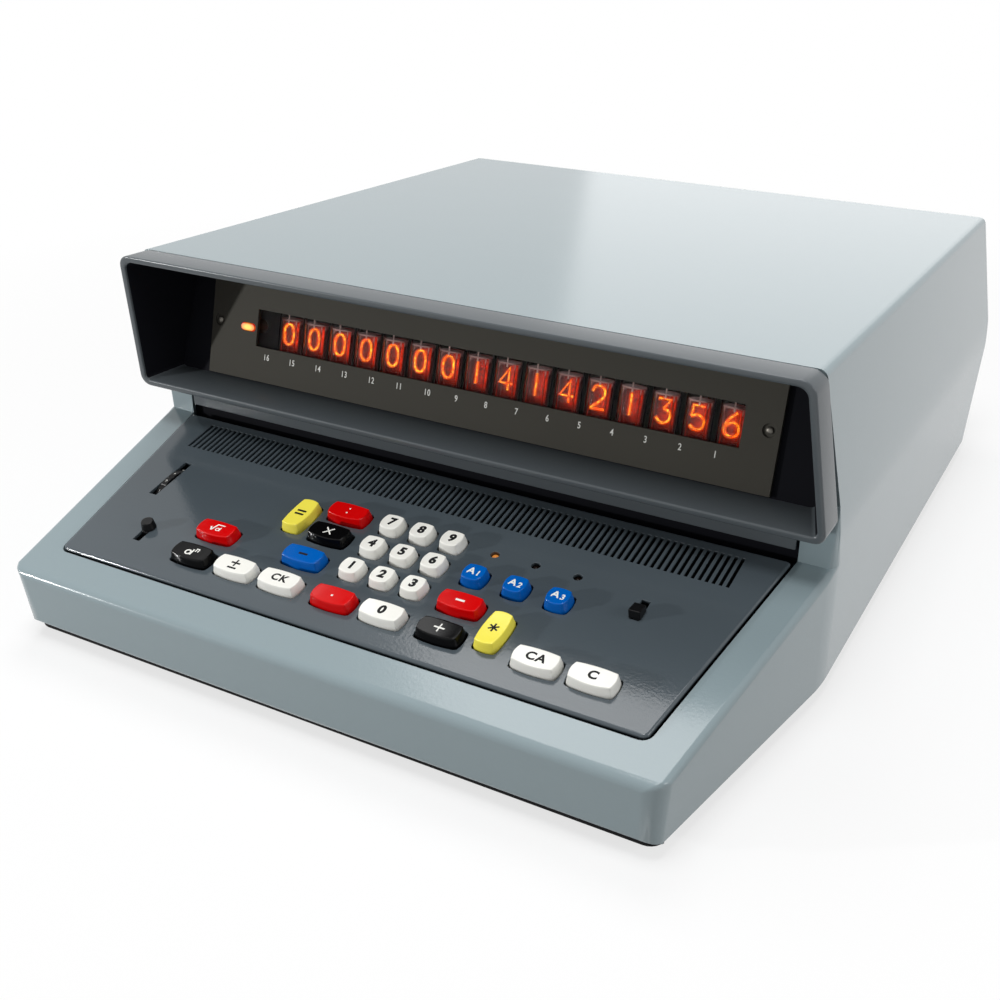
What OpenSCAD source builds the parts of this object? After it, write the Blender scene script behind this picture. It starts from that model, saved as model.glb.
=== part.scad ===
// Desk calculator with sixteen glow-discharge number tubes behind a hooded window and a sloped keyboard.
// X runs to the right, Y to the rear and Z up. The origin is on the table under the middle of the case.

/* [Case] */
// Width across the upright lower sides
case_w = 441; // [430:1:470]
// Depth from the front lip to the rear waist
case_l = 564; // [550:1:620]
// Width across the front lip
front_w = 391; // [370:1:405]
// Width across the top
top_w = 415; // [405:1:420]
// Height of the hood's front edge above the table
case_h = 191.5; // [189:0.5:205]
// Height of the front lip above the table
lip_h = 46.5; // [44:0.5:50]
// Height of the case's lower edge above the table
skirt_h = 10; // [9:0.5:12]
// Height of the waist, the rearmost line
waist_h = 84.5; // [78:0.5:92]
// Distance from the front lip to the neck under the hood
neck_run = 162; // [158:1:170]
// Distance from the front lip to where the sides stop tapering
taper_run = 169; // [160:1:180]
// Slope of the keyboard deck in degrees
deck_slope = 11.5; // [10.5:0.5:12.5]
// Fall of the top towards the rear in degrees
top_fall = 2.6; // [1.6:0.2:3.4]
// Backward lean of the front face in degrees
lip_lean = 6.4; // [2:0.2:10]
// Forward lean of the rear face below its top edge in degrees
rear_rake = 13; // [8:1:16]
// Undercut of the rear face below the waist in degrees
undercut = 25.5; // [15:0.5:30]
// Thickness of the case wall
wall = 3; // [2.5:0.5:4]
// Radius of the case's outer edges
edge_r = 5; // [3:0.5:8]

/* [Hood] */
// Height of the hood's lower edge above the table
hood_bottom = 103.5; // [102:0.5:106]
// Reach of the hood's lower edge in front of the neck
hood_reach = 23; // [22:0.5:28]
// Depth of the hood frame
hood_depth = 18; // [14:0.5:19]
// Forward lean of the hood's front in degrees
hood_lean = 10; // [7:0.5:12]
// Width of the hood's front rim
rim = 4; // [3:0.5:6]
// Inward draw of the reveal from its front to its back
reveal_draw = 13; // [10:0.5:16]
// Radius of the hood's corners
hood_r = 7; // [4:0.5:10]

/* [Display] */
// Backward lean of the display panel in degrees
display_lean = 15; // [10:1:18]
// Width of the display panel
display_w = 364; // [356:1:380]
// Distance from the display panel's top up to the hood's top
display_brow = 14.1; // [12:0.1:18]
// Number of tubes
tube_count = 16; // [10:1:16]
// Distance between tube centres
tube_pitch = 19.24; // [18:0.02:19.4]
// Diameter of a tube's glass
tube_d = 16; // [14:0.5:17]
// Depth of the tube axes behind the face of the display panel
tube_depth = 23.5; // [20:0.5:28]
// Sideways offset of the row of tubes from the middle
tube_shift = 6; // [0:0.5:8]
// Height of the window in the display panel
window_h = 22.5; // [18:0.5:26]
// Height of the window's lower edge above the panel's lower edge
window_t = 21.4; // [18:0.2:24]

/* [Keyboard] */
// Width of the case's deck beside the keyboard panel
deck_border = 19.5; // [15:0.5:24]
// Width of the case's deck in front of the keyboard panel
lip_border = 23; // [20:0.5:26]
// Height of the panel's face above the deck
panel_rise = 1.8; // [0:0.2:3]
// Thickness of the keyboard panel
panel_t = 3; // [2:0.5:4]
// Short side of a key
key_s = 14; // [13:0.5:15]
// Long side of a wide or tall key
key_long = 25.5; // [24:0.5:27]
// Height of a key above the panel
key_rise = 5.4; // [4.5:0.1:7]
// Travel of a key
key_travel = 3.5; // [2.5:0.5:4]
// Distance between digit columns
digit_pitch = 19.2; // [18:0.1:20]
// Distance between digit rows
row_pitch = 19.8; // [19:0.1:21]
// Distance between wide keys
wide_pitch = 29.8; // [29:0.1:31]
// Distance between memory keys
memory_pitch = 24.3; // [20:0.1:25]
// Number of vent slots
vent_count = 95; // [60:1:96]
// Distance between vent slots
vent_pitch = 3.72; // [3.4:0.02:3.8]
// Length of a vent slot
vent_l = 24; // [15:1:25]
// Radius of the decimal wheel
wheel_r = 24; // [22:0.5:26]

/* [Inside] */
// Number of logic cards
card_count = 12; // [6:1:13]
// Distance between logic cards
card_pitch = 24; // [20:1:25]
// Height of a logic card
card_h = 95; // [70:1:105]
// Thickness of sheet metal
sheet = 2; // [1.5:0.1:2.5]
// Thickness of a circuit board
board_t = 1.6; // [1.2:0.1:2]

/* [Hidden] */
$fn = 48;
// Flat clearance between still pieces, and between sliding pieces
gap = 0.15;
slide_gap = 0.25;

front_y = -case_l / 2;
rear_y = case_l / 2;
neck_y = front_y + neck_run;
taper = atan((case_w - front_w) / 2 / taper_run);

// Hood and top lines
hood_y = neck_y - hood_reach;
hood_top_y = hood_y - (case_h - hood_bottom) * tan(hood_lean);
brow_seam = 2.2;
brow_y = hood_top_y + hood_depth + brow_seam;
brow_foot = hood_bottom + 3.5;
function top_z(y) = case_h - (y - hood_top_y) * tan(top_fall);
function deck_z(y) = lip_h + (y - front_y) * tan(deck_slope);
// Where the raked rear face meets the top
rear_slope = tan(rear_rake);
rear_top_z = (top_z(rear_y) - tan(top_fall) * rear_slope * waist_h) / (1 - tan(top_fall) * rear_slope);
rear_top_y = rear_y - (rear_top_z - waist_h) * rear_slope;
// The waist line on the sides runs parallel to the top
waist_mid = waist_h + rear_y * tan(top_fall);
crown = (top_z(0) - waist_mid) * cos(top_fall);

// Keyboard panel frame: origin at the front edge of its opening, on the panel's face
panel_y = front_y + lip_border * cos(deck_slope) - panel_rise * sin(deck_slope);
panel_z = lip_h + lip_border * sin(deck_slope) + panel_rise * cos(deck_slope);
panel_gap = 1.3;
panel_end = (neck_y - panel_y) / cos(deck_slope) - 2.2;
vent_v = panel_end - 8 - vent_l;
function opening_half(v) = front_w / 2 - deck_border / cos(taper)
    + (lip_border + v) * cos(deck_slope) * tan(taper);

// Display frame: origin at the lower edge of the display panel's face
display_y = neck_y - 0.7;
display_z = hood_bottom + 8.2;
display_h = (case_h - display_z - display_brow) / cos(display_lean);
display_t = 2.5;
reveal_top = display_h + 2;
hood_half = case_w / 2 - 2;
hood_top_half = top_w / 2 + 0.7;
hood_rise = (case_h - hood_bottom) / cos(hood_lean);
sleeve_t = 2;
window_w = tube_count * tube_pitch + 1.2;
window_x = tube_shift - window_w / 2 + 1.5;
pilot_x = window_x - 7;
pilot_t = window_t + window_h / 2 - 0.6;
pilot_w = 11;
pilot_h = 5;
screw_x = display_w / 2 - 6;
screw_t = window_t + window_h / 2 + 0.6;
screw_d = 3;
tube_foot = 8;
tube_top = 47;
socket_h = 6;
glass_t = 0.8;

// Keyboard rows and columns
front_row = 22.5;
second_row = 44;
digit_row = second_row + 2;
upper_row = digit_row + 2 * row_pitch;
digit_x = -9.2;
left_x = -98.9;
function row(n) = digit_row + n * row_pitch;
function column(n) = digit_x + n * digit_pitch;
check_x = left_x + 2 * wide_pitch;
operator_x = check_x + 1.6;
point_x = -5.1;
memory_x = 54;
clear_x = 112.3;
plus_x = memory_x + 5;
white = "ivory";
// Name, place across and up the panel, width, length and colour of each key
KEYS = [
    ["root", left_x, second_row, key_long, key_s, "red"],
    ["power", left_x, front_row, key_long, key_s, "black"],
    ["sign", left_x + wide_pitch, front_row, key_long, key_s, white],
    ["check", check_x, front_row, key_long, key_s, white],
    ["subtract", check_x, second_row, key_long, key_s, "dodgerblue"],
    ["multiply", operator_x, row(1), key_long, key_s, "black"],
    ["divide", operator_x, upper_row - 0.6, key_long, key_s, "red"],
    ["equals", operator_x - 25, row(1.4), key_s, key_long, "gold"],
    for (n = [1 : 9]) [str(n), column((n - 1) % 3), row(floor((n - 1) / 3)), key_s, key_s, white],
    ["point", point_x, front_row, key_long, key_s, "red"],
    ["0", point_x + wide_pitch + 0.4, front_row, key_long, key_s, white],
    for (n = [1 : 3]) [str("a", n), memory_x + (n - 1) * memory_pitch, row(1), key_s, key_s, "dodgerblue"],
    ["minus", plus_x - 0.6, second_row, key_long, key_s, "red"],
    ["plus", plus_x, front_row, key_long, key_s, "black"],
    ["total", plus_x + 24.8, front_row + 10.4, key_s, key_long, "gold"],
    ["clear_all", clear_x, front_row, key_long, key_s, white],
    ["clear", clear_x + wide_pitch, front_row, key_long, key_s, white]
];
key_skirt = 6;
key_gap = 0.7;
stem_w = 5;
stem_l = 10;
switch_w = 12;
switch_top = key_skirt + key_travel + 1.5;
switch_h = 11;
board_drop = switch_top + switch_h;
board_x = [-120, 160];
board_v = [11, 100];
spacer_spots = [[-114, 34], [-114, 94], [152, 36], [152, 94]];
pillar_v = [15, vent_v - 6];
lamp_d = 5;
lamp_v = row(1) + 21.5;
// Slide switches: place of the slot's middle, with the knob's rest at the rear or the front of the slot
slide_slot = [4.8, 15];
slide_travel = 7;
slide_half = slide_travel / 2;
left_slide = [-141.5, 30];
right_slide = [142, 76.5];
slide_body = [11, 24, 9];
// Decimal wheel
wheel_edge = 27.9;
wheel_v = 77;
wheel_at = [wheel_edge - opening_half(wheel_v), wheel_v];
wheel_t = 4;
wheel_slot = [5.2, 33];
wheel_proud = 1;
wheel_drop = wheel_r - wheel_proud;
axle_r = 2;
axle_fit = 0.05;
bracket_x = 5.5;

// Base and inner chassis
foot_h = skirt_h / 2;
tray_h = skirt_h + 6;
tray_inset = 5.5;
foot_d = 22;
lug = [17, 14, 12];
lug_y = [neck_y + 60, neck_y + 210, rear_y - 67];
lug_root = 1;
lug_x = case_w / 2 - wall - lug[0] / 2;
boss_r = 5;
boss_x = case_w / 2 - wall - lug[0] + boss_r + 1;
floor_z = foot_h + sheet;
chassis_z = floor_z + sheet;
chassis_gap = 16.5;
chassis_half = boss_x - boss_r - chassis_gap;
chassis_rear = 62;
chassis_y = [neck_y + 2, rear_y - chassis_rear];
flange_h = 28;
flange_end = 10;
bulkhead_y = neck_y + 4.5;
backplane_z = chassis_z + 14;
card_bay = 70;
power_bay = 182;
card_l = rear_y - neck_y - card_bay - power_bay;
chip_columns = 5;
chip_pitch = (card_l - 20) / chip_columns;
card_x = -(card_count - 1) * card_pitch / 2 - 8;
card_y = neck_y + card_bay;
case_screw_r = 2;
power_y = 60;
core_x = 75;
core_w = 84;
core_l = 42;
core_h = 70;
core_leg = 14;
coil_w = 50;
coil_l = 62;
coil_h = 40;
can_x = 40;
can_pitch = 44;
can_d = 36;
can_h = 78;
// Rear panel frame: origin at the waist, up the raked face
rear_face = (rear_top_z - waist_h) / cos(rear_rake);
rear_side = 27.5;
rear_open = [top_w - 2 * rear_side, rear_face - 30];
rear_lap = 8;
louvre_count = 22;
louvre_pitch = 9;
louvre_w = 4;
louvre_x = 20 - rear_open[0] / 2;
rear_foot = 16;
rear_mid = rear_foot + rear_open[1] / 2;
inlet_x = 150;
inlet = [30, 22];
fuse_x = 112;
fuse_r = 6;
rear_screw_x = [-rear_open[0] / 2 + 8, 0, rear_open[0] / 2 - 8];

MOVING = [for (k = KEYS) str("key_", k[0])];
FIXED = ["case_shell", "base_plate", "feet", "case_screws", "rear_panel", "mains_inlet", "fuse_holder",
    "hood_frame", "neck_strip", "bulkhead", "display_panel", "window_glass", "display_screws", "pilot_lamp",
    "tube_board", "tube_sockets", "tube_electrodes", "tube_envelopes", "keyboard_panel", "panel_pillars",
    "keyboard_board", "key_switches", "slide_bodies", "wheel_bracket", "indicator_lamps", "chassis",
    "backplane", "logic_cards", "transformer", "capacitors", "slide_left", "slide_right", "decimal_wheel"];

// Outline tools
function unit(v) = v / norm(v);
function left_of(u) = [-u[1], u[0]];
// Outline moved inwards by d, for points in anticlockwise order
function inset(p, d) = [
    for (k = [0 : len(p) - 1])
        let (
            before = unit(p[k] - p[(k + len(p) - 1) % len(p)]),
            after = unit(p[(k + 1) % len(p)] - p[k]),
            n = left_of(before),
            m = left_of(after)
        )
        p[k] + d * (n + m) / (1 + n * m)
];
// Arc that rounds the corner b between a and c
function corner(a, b, c, r, steps) =
    let (
        u = unit(a - b),
        w = unit(c - b),
        half = acos(u * w) / 2,
        centre = b + unit(u + w) * r / sin(half),
        start = unit(b + u * r / tan(half) - centre),
        end = unit(b + w * r / tan(half) - centre),
        turn = acos(start * end)
    )
    [
        for (s = [0 : steps])
            let (part = s * turn / steps)
            centre + r * (sin(turn - part) * start + sin(part) * end) / sin(turn)
    ];
// Outline with each corner rounded by its own radius, or left sharp at zero
function rounded(p, radii, steps = 5) = [
    for (k = [0 : len(p) - 1])
        each radii[k] > 0
            ? corner(p[(k + len(p) - 1) % len(p)], p[k], p[(k + 1) % len(p)], radii[k], steps)
            : [p[k]]
];
function mirrored(p) = concat(p, [for (k = [len(p) - 1 : -1 : 0]) [-p[k][0], p[k][1]]]);
// Rectangle with blunted corners whose four sides bow outwards
bow_steps = [-0.9, -0.5, 0, 0.5, 0.9];
function bowed(w, l, bow = 1.1) = [
    for (s = bow_steps) [s * (w / 2 - bow), bow * s * s - l / 2],
    for (s = bow_steps) [w / 2 - bow * s * s, s * (l / 2 - bow)],
    for (s = bow_steps) [-s * (w / 2 - bow), l / 2 - bow * s * s],
    for (s = bow_steps) [bow * s * s - w / 2, -s * (l / 2 - bow)]
];

// Case outlines
function side_line(z_low) = [
    [front_y + (lip_h - z_low) * tan(lip_lean), z_low],
    [rear_y - (waist_h - z_low) * tan(undercut), z_low],
    [rear_y, waist_h],
    [rear_top_y, rear_top_z],
    [brow_y, top_z(brow_y)],
    [neck_y, brow_foot],
    [neck_y, deck_z(neck_y)],
    [front_y, lip_h]
];
plan_line = mirrored([[front_w / 2, front_y], [case_w / 2, front_y + taper_run], [case_w / 2, rear_y + 1]]);
section_line = mirrored([[case_w / 2, -2 * waist_h], [case_w / 2, 0], [top_w / 2, crown]]);
foot_line = mirrored([
    [front_w / 2 + (side_line(skirt_h)[0][0] - front_y) * tan(taper), side_line(skirt_h)[0][0]],
    [case_w / 2, front_y + taper_run],
    [case_w / 2, side_line(skirt_h)[1][0]]
]);

module along_x(width) {
    rotate([90, 0, 90])
        linear_extrude(width, center = true)
            children();
}

module along_top() {
    translate([0, 0, waist_mid])
        rotate([90 - top_fall, 0, 0])
            linear_extrude(2 * case_l, center = true)
                children();
}

module on_panel(x = 0, v = 0, h = 0) {
    translate([0, panel_y, panel_z])
        rotate([deck_slope, 0, 0])
            translate([x, v, h])
                children();
}

// Local X across, Y into the display and Z up its face
module on_display(x = 0, d = 0, t = 0) {
    translate([0, display_y, display_z])
        rotate([-display_lean, 0, 0])
            translate([x, d, t])
                children();
}

// Slab of an outline in X and height, reaching back from the local face
module upright(depth) {
    translate([0, depth, 0])
        rotate([90, 0, 0])
            linear_extrude(depth)
                children();
}

module case_body(d, side, round_r) {
    plan = inset(plan_line, d);
    section = inset(section_line, d);
    intersection() {
        along_x(case_w)
            polygon(rounded(side, [0.8 * round_r, 0, 3 * round_r, round_r, 0, 0, round_r / 2, round_r]));
        translate([0, 0, -case_h])
            linear_extrude(3 * case_h)
                polygon(rounded(plan, [1.4 * round_r, 0, 0, 0, 0, 1.4 * round_r]));
        along_top()
            polygon(rounded(section, [0, 4 * round_r, round_r, round_r, 4 * round_r, 0]));
    }
}

module case_shell() {
    color("lightsteelblue")
        difference() {
            union() {
                difference() {
                    case_body(0, side_line(skirt_h), edge_r);
                    case_body(wall, inset(side_line(-wall - 1), wall), edge_r - wall / 2);
                }
                for (side = [-1, 1], y = lug_y)
                    translate([side * (lug_x + lug_root / 2), y, tray_h + lug[2] / 2])
                        cube([lug[0] + lug_root, lug[1], lug[2]], center = true);
            }
            deck_opening();
            display_mouth();
            rear_opening();
            for (side = [-1, 1], y = lug_y)
                translate([side * boss_x, y, tray_h - 1])
                    cylinder(r = case_screw_r, h = lug[2] - 1);
            at_rear_screws()
                cylinder(r = case_screw_r + gap, h = 4 * wall, center = true);
        }
}

// Tapered opening for the keyboard panel, running back under the hood
module deck_opening() {
    end = panel_end + 2;
    on_panel(0, 0, -12)
        linear_extrude(20)
            polygon(rounded(
                mirrored([[opening_half(0), 0], [opening_half(end), end]]),
                [edge_r, 0, 0, edge_r]
            ));
    mouth = 2 * opening_half(end);
    translate([-mouth / 2, neck_y - 6, deck_z(neck_y) - 6])
        cube([mouth, wall + 9, brow_foot - deck_z(neck_y) + 7]);
}

// Open front of the case behind the hood
module display_mouth() {
    intersection() {
        along_top()
            polygon(inset(section_line, wall));
        translate([-case_w / 2, hood_top_y, brow_foot])
            cube([case_w, neck_y - hood_top_y + wall + 4, case_h]);
    }
}

module on_rear(x = 0, u = 0, n = 0) {
    translate([0, rear_y, waist_h])
        rotate([rear_rake, 0, 0])
            translate([x, n, u])
                children();
}

module rear_opening() {
    on_rear(0, rear_foot, -2 * wall)
        upright(4 * wall)
            polygon(rounded(
                mirrored([[rear_open[0] / 2, 0], [rear_open[0] / 2, rear_open[1]]]),
                [4, 4, 4, 4]
            ));
}

// Shallow pan set just inside the case's lower edge, with a boss under each lug
module base_plate() {
    color("black")
        difference() {
            union() {
                difference() {
                    translate([0, 0, foot_h])
                        linear_extrude(tray_h - foot_h)
                            polygon(rounded(inset(foot_line, tray_inset), [8, 0, 4, 4, 0, 8]));
                    translate([0, 0, floor_z])
                        linear_extrude(tray_h)
                            polygon(rounded(inset(foot_line, tray_inset + sheet), [6, 0, 2, 2, 0, 6]));
                }
                for (side = [-1, 1], y = lug_y)
                    translate([side * boss_x, y, foot_h])
                        cylinder(r = boss_r, h = tray_h - foot_h);
            }
            for (side = [-1, 1], y = lug_y)
                translate([side * boss_x, y, 0])
                    cylinder(r = case_screw_r + gap, h = 2 * tray_h);
        }
}

module feet() {
    color("dimgray")
        for (side = [-1, 1], y = [front_y + 60, rear_y - 85])
            translate([side * (front_w / 2 - 45), y, 0])
                cylinder(d1 = foot_d - 2, d2 = foot_d, h = foot_h);
}

module pan_screw(length) {
    cylinder(r = case_screw_r - 0.3, h = length);
    translate([0, 0, -2.4])
        intersection() {
            cylinder(r = 4, h = 2.4);
            translate([0, 0, 4.4])
                sphere(r = 5);
        }
}

// Places of the rear panel's screws, with local Z pointing into the case from its rear face
module at_rear_screws() {
    for (x = rear_screw_x, end = [-1, 1])
        on_rear(x, rear_mid + end * (rear_open[1] + rear_lap) / 2)
            rotate([90, 0, 0])
                children();
}

module case_screws() {
    color("silver") {
        for (side = [-1, 1], y = lug_y)
            translate([side * boss_x, y, foot_h])
                pan_screw(tray_h - foot_h + lug[2] - 3);
        at_rear_screws()
            pan_screw(wall + 2 * sheet);
    }
}

// Inner plate over the rear opening, with louvre slots and the mains fittings
module rear_panel() {
    half = rear_open[0] / 2 + rear_lap;
    color("dimgray")
        difference() {
            on_rear(0, rear_foot, -wall - sheet)
                upright(sheet)
                    polygon(mirrored([[half, -rear_lap], [half, rear_open[1] + rear_lap]]));
            for (n = [0 : louvre_count - 1], half_way = [0, 0.5])
                on_rear(louvre_x + n * louvre_pitch, rear_foot + 5 + half_way * rear_open[1], -4 * wall)
                    cube([louvre_w, 8 * wall, rear_open[1] / 2 - 9]);
            on_rear(inlet_x - inlet[0] / 2 - gap, rear_mid - inlet[1] / 2 - gap, -4 * wall)
                cube([inlet[0] + 2 * gap, 8 * wall, inlet[1] + 2 * gap]);
            on_rear(fuse_x, rear_mid, -4 * wall)
                rotate([-90, 0, 0])
                    cylinder(r = fuse_r + gap, h = 8 * wall);
            at_rear_screws()
                cylinder(r = case_screw_r, h = 6 * wall, center = true);
        }
}

// Recessed appliance inlet: a flanged box with three flat pins that stop short of its mouth
module mains_inlet() {
    depth = 15;
    lip = 1;
    shell = 1.5;
    pin = [2, 9, 4];
    color("black")
        on_rear(inlet_x, rear_mid, -wall - sheet) {
            difference() {
                union() {
                    translate([-inlet[0] / 2, -depth, -inlet[1] / 2])
                        cube([inlet[0], depth + sheet + lip, inlet[1]]);
                    translate([-inlet[0] / 2 - 3, sheet, -inlet[1] / 2 - 3])
                        cube([inlet[0] + 6, lip, inlet[1] + 6]);
                }
                translate([-inlet[0] / 2 + shell, shell - depth, -inlet[1] / 2 + shell])
                    cube([inlet[0] - 2 * shell, 2 * depth, inlet[1] - 2 * shell]);
            }
            for (n = [-1, 0, 1])
                translate([n * 7 - pin[0] / 2, shell - depth - 0.5, n == 0 ? 0 : -pin[2]])
                    cube([pin[0], pin[1] + 0.5, pin[2]]);
        }
}

module fuse_holder() {
    color("black")
        on_rear(fuse_x, rear_mid, -wall - sheet)
            rotate([-90, 0, 0])
                difference() {
                    union() {
                        translate([0, 0, -22])
                            cylinder(r = fuse_r, h = 22 + sheet + 6);
                        translate([0, 0, sheet])
                            cylinder(r = fuse_r + 2, h = 1.5);
                    }
                    translate([-fuse_r, -0.6, sheet + 4.5])
                        cube([2 * fuse_r, 1.2, 3]);
                }
}

// Trapezium of the hood's front, from its lower edge up its leaning face
hood_face = mirrored([[hood_half, 0], [hood_top_half, hood_rise]]);
reveal_half = hood_half - reveal_draw;
reveal_top_half = hood_top_half - reveal_draw + 2;
reveal_face = mirrored([[reveal_half, -0.8], [reveal_top_half, reveal_top]]);

module on_hood(depth = 0) {
    translate([0, hood_y, hood_bottom])
        rotate([hood_lean, 0, 0])
            translate([0, depth, 0])
                children();
}

module hood_ring() {
    section = mirrored([[hood_half, hood_bottom - case_h], [hood_top_half, 0]]);
    intersection() {
        translate([0, hood_top_y, case_h])
            rotate([90 - top_fall, 0, 0])
                linear_extrude(4 * hood_reach, center = true)
                    polygon(rounded(section, [hood_r, hood_r, hood_r, hood_r]));
        along_x(case_w)
            polygon([
                [hood_y, hood_bottom - 5],
                [hood_y + hood_depth, hood_bottom - 5],
                [hood_y + hood_depth, hood_bottom],
                [hood_top_y + hood_depth, case_h + 2],
                [hood_top_y, case_h + 2],
                [hood_top_y, case_h],
                [hood_y, hood_bottom]
            ]);
    }
}

// Splayed reveal between the front rim and the display, grown outwards by t
module reveal(t, front, past = 0) {
    hull() {
        on_hood(front)
            upright(0.5)
                polygon(inset(hood_face, rim - t));
        on_display(0, display_t - 0.5, 0)
            upright(0.5 + past)
                polygon(inset(reveal_face, -t));
    }
}

module hood_frame() {
    color("slategray")
        difference() {
            union() {
                hood_ring();
                reveal(sleeve_t, 3);
            }
            reveal(0, -0.5, 0.02);
            on_display(-case_w / 2, display_t, -hood_reach)
                cube([case_w, 3 * hood_reach, case_h]);
        }
}

// Dark strip that closes the neck between the keyboard panel and the hood
module neck_strip() {
    half = opening_half(panel_end) - 1.5;
    low = deck_z(neck_y) + 6;
    color("slategray") {
        translate([-half, neck_y - 0.3, low])
            cube([2 * half, sheet, hood_bottom - 0.8 - low]);
        translate([-half, neck_y - 0.3 + sheet, hood_bottom - 0.8 - sheet])
            cube([2 * half, bulkhead_y - neck_y + 0.3 - sheet, sheet]);
    }
}

// Where a plane at depth d behind the display's face lies at height z
function display_at(d, z) = display_y + d / cos(display_lean) + (z - display_z) * tan(display_lean);

// Bent sheet that carries the display: upright below, joggled forward and leaning back above
module bulkhead() {
    half = reveal_half + sleeve_t + 2;
    top_half = reveal_top_half + sleeve_t + 1;
    top = display_z + (reveal_top + 3) * cos(display_lean);
    shelf = brow_foot + 2 * gap;
    back = display_t + sheet;
    color("black")
        difference() {
            intersection() {
                along_x(2 * half)
                    polygon([
                        [bulkhead_y, chassis_z],
                        [bulkhead_y + sheet, chassis_z],
                        [bulkhead_y + sheet, shelf + sheet],
                        [display_at(back, shelf + sheet), shelf + sheet],
                        [display_at(back, top), top],
                        [display_at(display_t, top), top],
                        [display_at(display_t, shelf), shelf],
                        [bulkhead_y, shelf]
                    ]);
                rotate([90, 0, 0])
                    linear_extrude(case_l, center = true)
                        polygon(mirrored([[half, 0], [half, display_z], [top_half, top + 1]]));
            }
            on_display(pilot_x - 9, -5, window_t - 4)
                cube([window_w + 24, 20, window_h + 8]);
            for (side = [-1, 1])
                on_display(side * screw_x, -5, screw_t)
                    rotate([-90, 0, 0])
                        cylinder(r = screw_d / 2 + gap, h = 20);
        }
}

module display_panel() {
    color("dimgray")
        difference() {
            on_display()
                upright(display_t)
                    polygon(mirrored([[display_w / 2, 0], [display_w / 2, display_h]]));
            on_display(window_x, -1, window_t)
                cube([window_w, 6, window_h]);
            on_display(pilot_x, -1, pilot_t)
                pilot_oval(0, 6);
            for (side = [-1, 1])
                on_display(side * screw_x, -1, screw_t)
                    rotate([-90, 0, 0]) {
                        cylinder(r = screw_d / 2 + gap, h = 6);
                        cylinder(r = screw_d + 0.6, h = 1.9);
                    }
        }
}

// Flat-ended oval lens seen from the front
module pilot_oval(grow, depth) {
    r = pilot_h / 2 - grow;
    for (side = [-1, 1])
        translate([side * (pilot_w - pilot_h) / 2, 0, 0])
            rotate([-90, 0, 0])
                cylinder(r = r, h = depth);
    translate([-(pilot_w - pilot_h) / 2, 0, -r])
        cube([pilot_w - pilot_h, depth, 2 * r]);
}

module window_glass() {
    color("lightgray", 0.3)
        on_display(window_x - 1.2, display_t, window_t - 3)
            cube([window_w + 2.4, 1.5, window_h + 6]);
}

module display_screws() {
    color("silver")
        for (side = [-1, 1])
            on_display(side * screw_x, 0, screw_t)
                rotate([-90, 0, 0]) {
                    cylinder(r = screw_d / 2, h = display_t + 4 * sheet);
                    intersection() {
                        translate([0, 0, -0.4])
                            cylinder(r = screw_d - 0.6, h = 1.3);
                        translate([0, 0, 3.5])
                            sphere(r = 4);
                    }
                }
}

module pilot_lamp() {
    color("orange")
        on_display(pilot_x, 0, pilot_t) {
            translate([0, -0.5, 0])
                pilot_oval(gap, display_t + 8);
            translate([0, display_t, 0])
                rotate([-90, 0, 0])
                    cylinder(r = pilot_h - 0.5, h = 12);
        }
}

function tube_x(n) = tube_shift + (n - (tube_count - 1) / 2) * tube_pitch;

module at_tubes(t = 0) {
    for (n = [0 : tube_count - 1])
        on_display(tube_x(n), tube_depth, t)
            children();
}

module tube_board() {
    color("darkgreen")
        on_display(tube_x(0) - 14, display_t + sheet, tube_foot - socket_h - board_t)
            cube([(tube_count - 1) * tube_pitch + 28, tube_depth + 16, board_t]);
}

module tube_sockets() {
    color("saddlebrown")
        at_tubes(tube_foot - socket_h)
            difference() {
                cylinder(d = tube_d + 1.5, h = socket_h);
                translate([0, 0, 2])
                    cylinder(d = tube_d - 4, h = socket_h);
            }
}

// Two insulating discs, the rods between them and the anode cup behind the numerals
module tube_electrodes() {
    r = tube_d / 2 - glass_t - 0.4;
    low = 5;
    high = tube_top - tube_foot - 9;
    color("lightgray")
        at_tubes(tube_foot) {
            for (z = [low, high])
                translate([0, 0, z])
                    cylinder(r = r, h = 0.8);
            translate([0, 0, low])
                difference() {
                    cylinder(r = r - 0.3, h = high - low + 0.4);
                    cylinder(r = r - 0.7, h = high);
                    translate([-tube_d, -tube_d - 1, -1])
                        cube([2 * tube_d, tube_d, high + 2]);
                }
            for (a = [30, 150, 210, 330])
                rotate(a)
                    translate([r - 1, 0, glass_t])
                        cylinder(r = 0.35, h = high - glass_t + 0.5);
        }
}

// Blown glass: straight wall, domed shoulder and sealed tip
module tube_envelopes() {
    r = tube_d / 2;
    h = tube_top - tube_foot;
    color("mistyrose", 0.4)
        at_tubes(tube_foot)
            rotate_extrude() {
                difference() {
                    tube_half(r, h);
                    translate([0, glass_t])
                        tube_half(r - glass_t, h - 2 * glass_t);
                }
                translate([0, h - 0.5])
                    square([1.6, 3]);
            }
}

module tube_half(r, h) {
    intersection() {
        union() {
            square([r, h - r]);
            translate([0, h - r])
                circle(r = r);
        }
        square([r, h]);
    }
}

panel_line = mirrored([[opening_half(0), 0], [opening_half(panel_end), panel_end]]);

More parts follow.
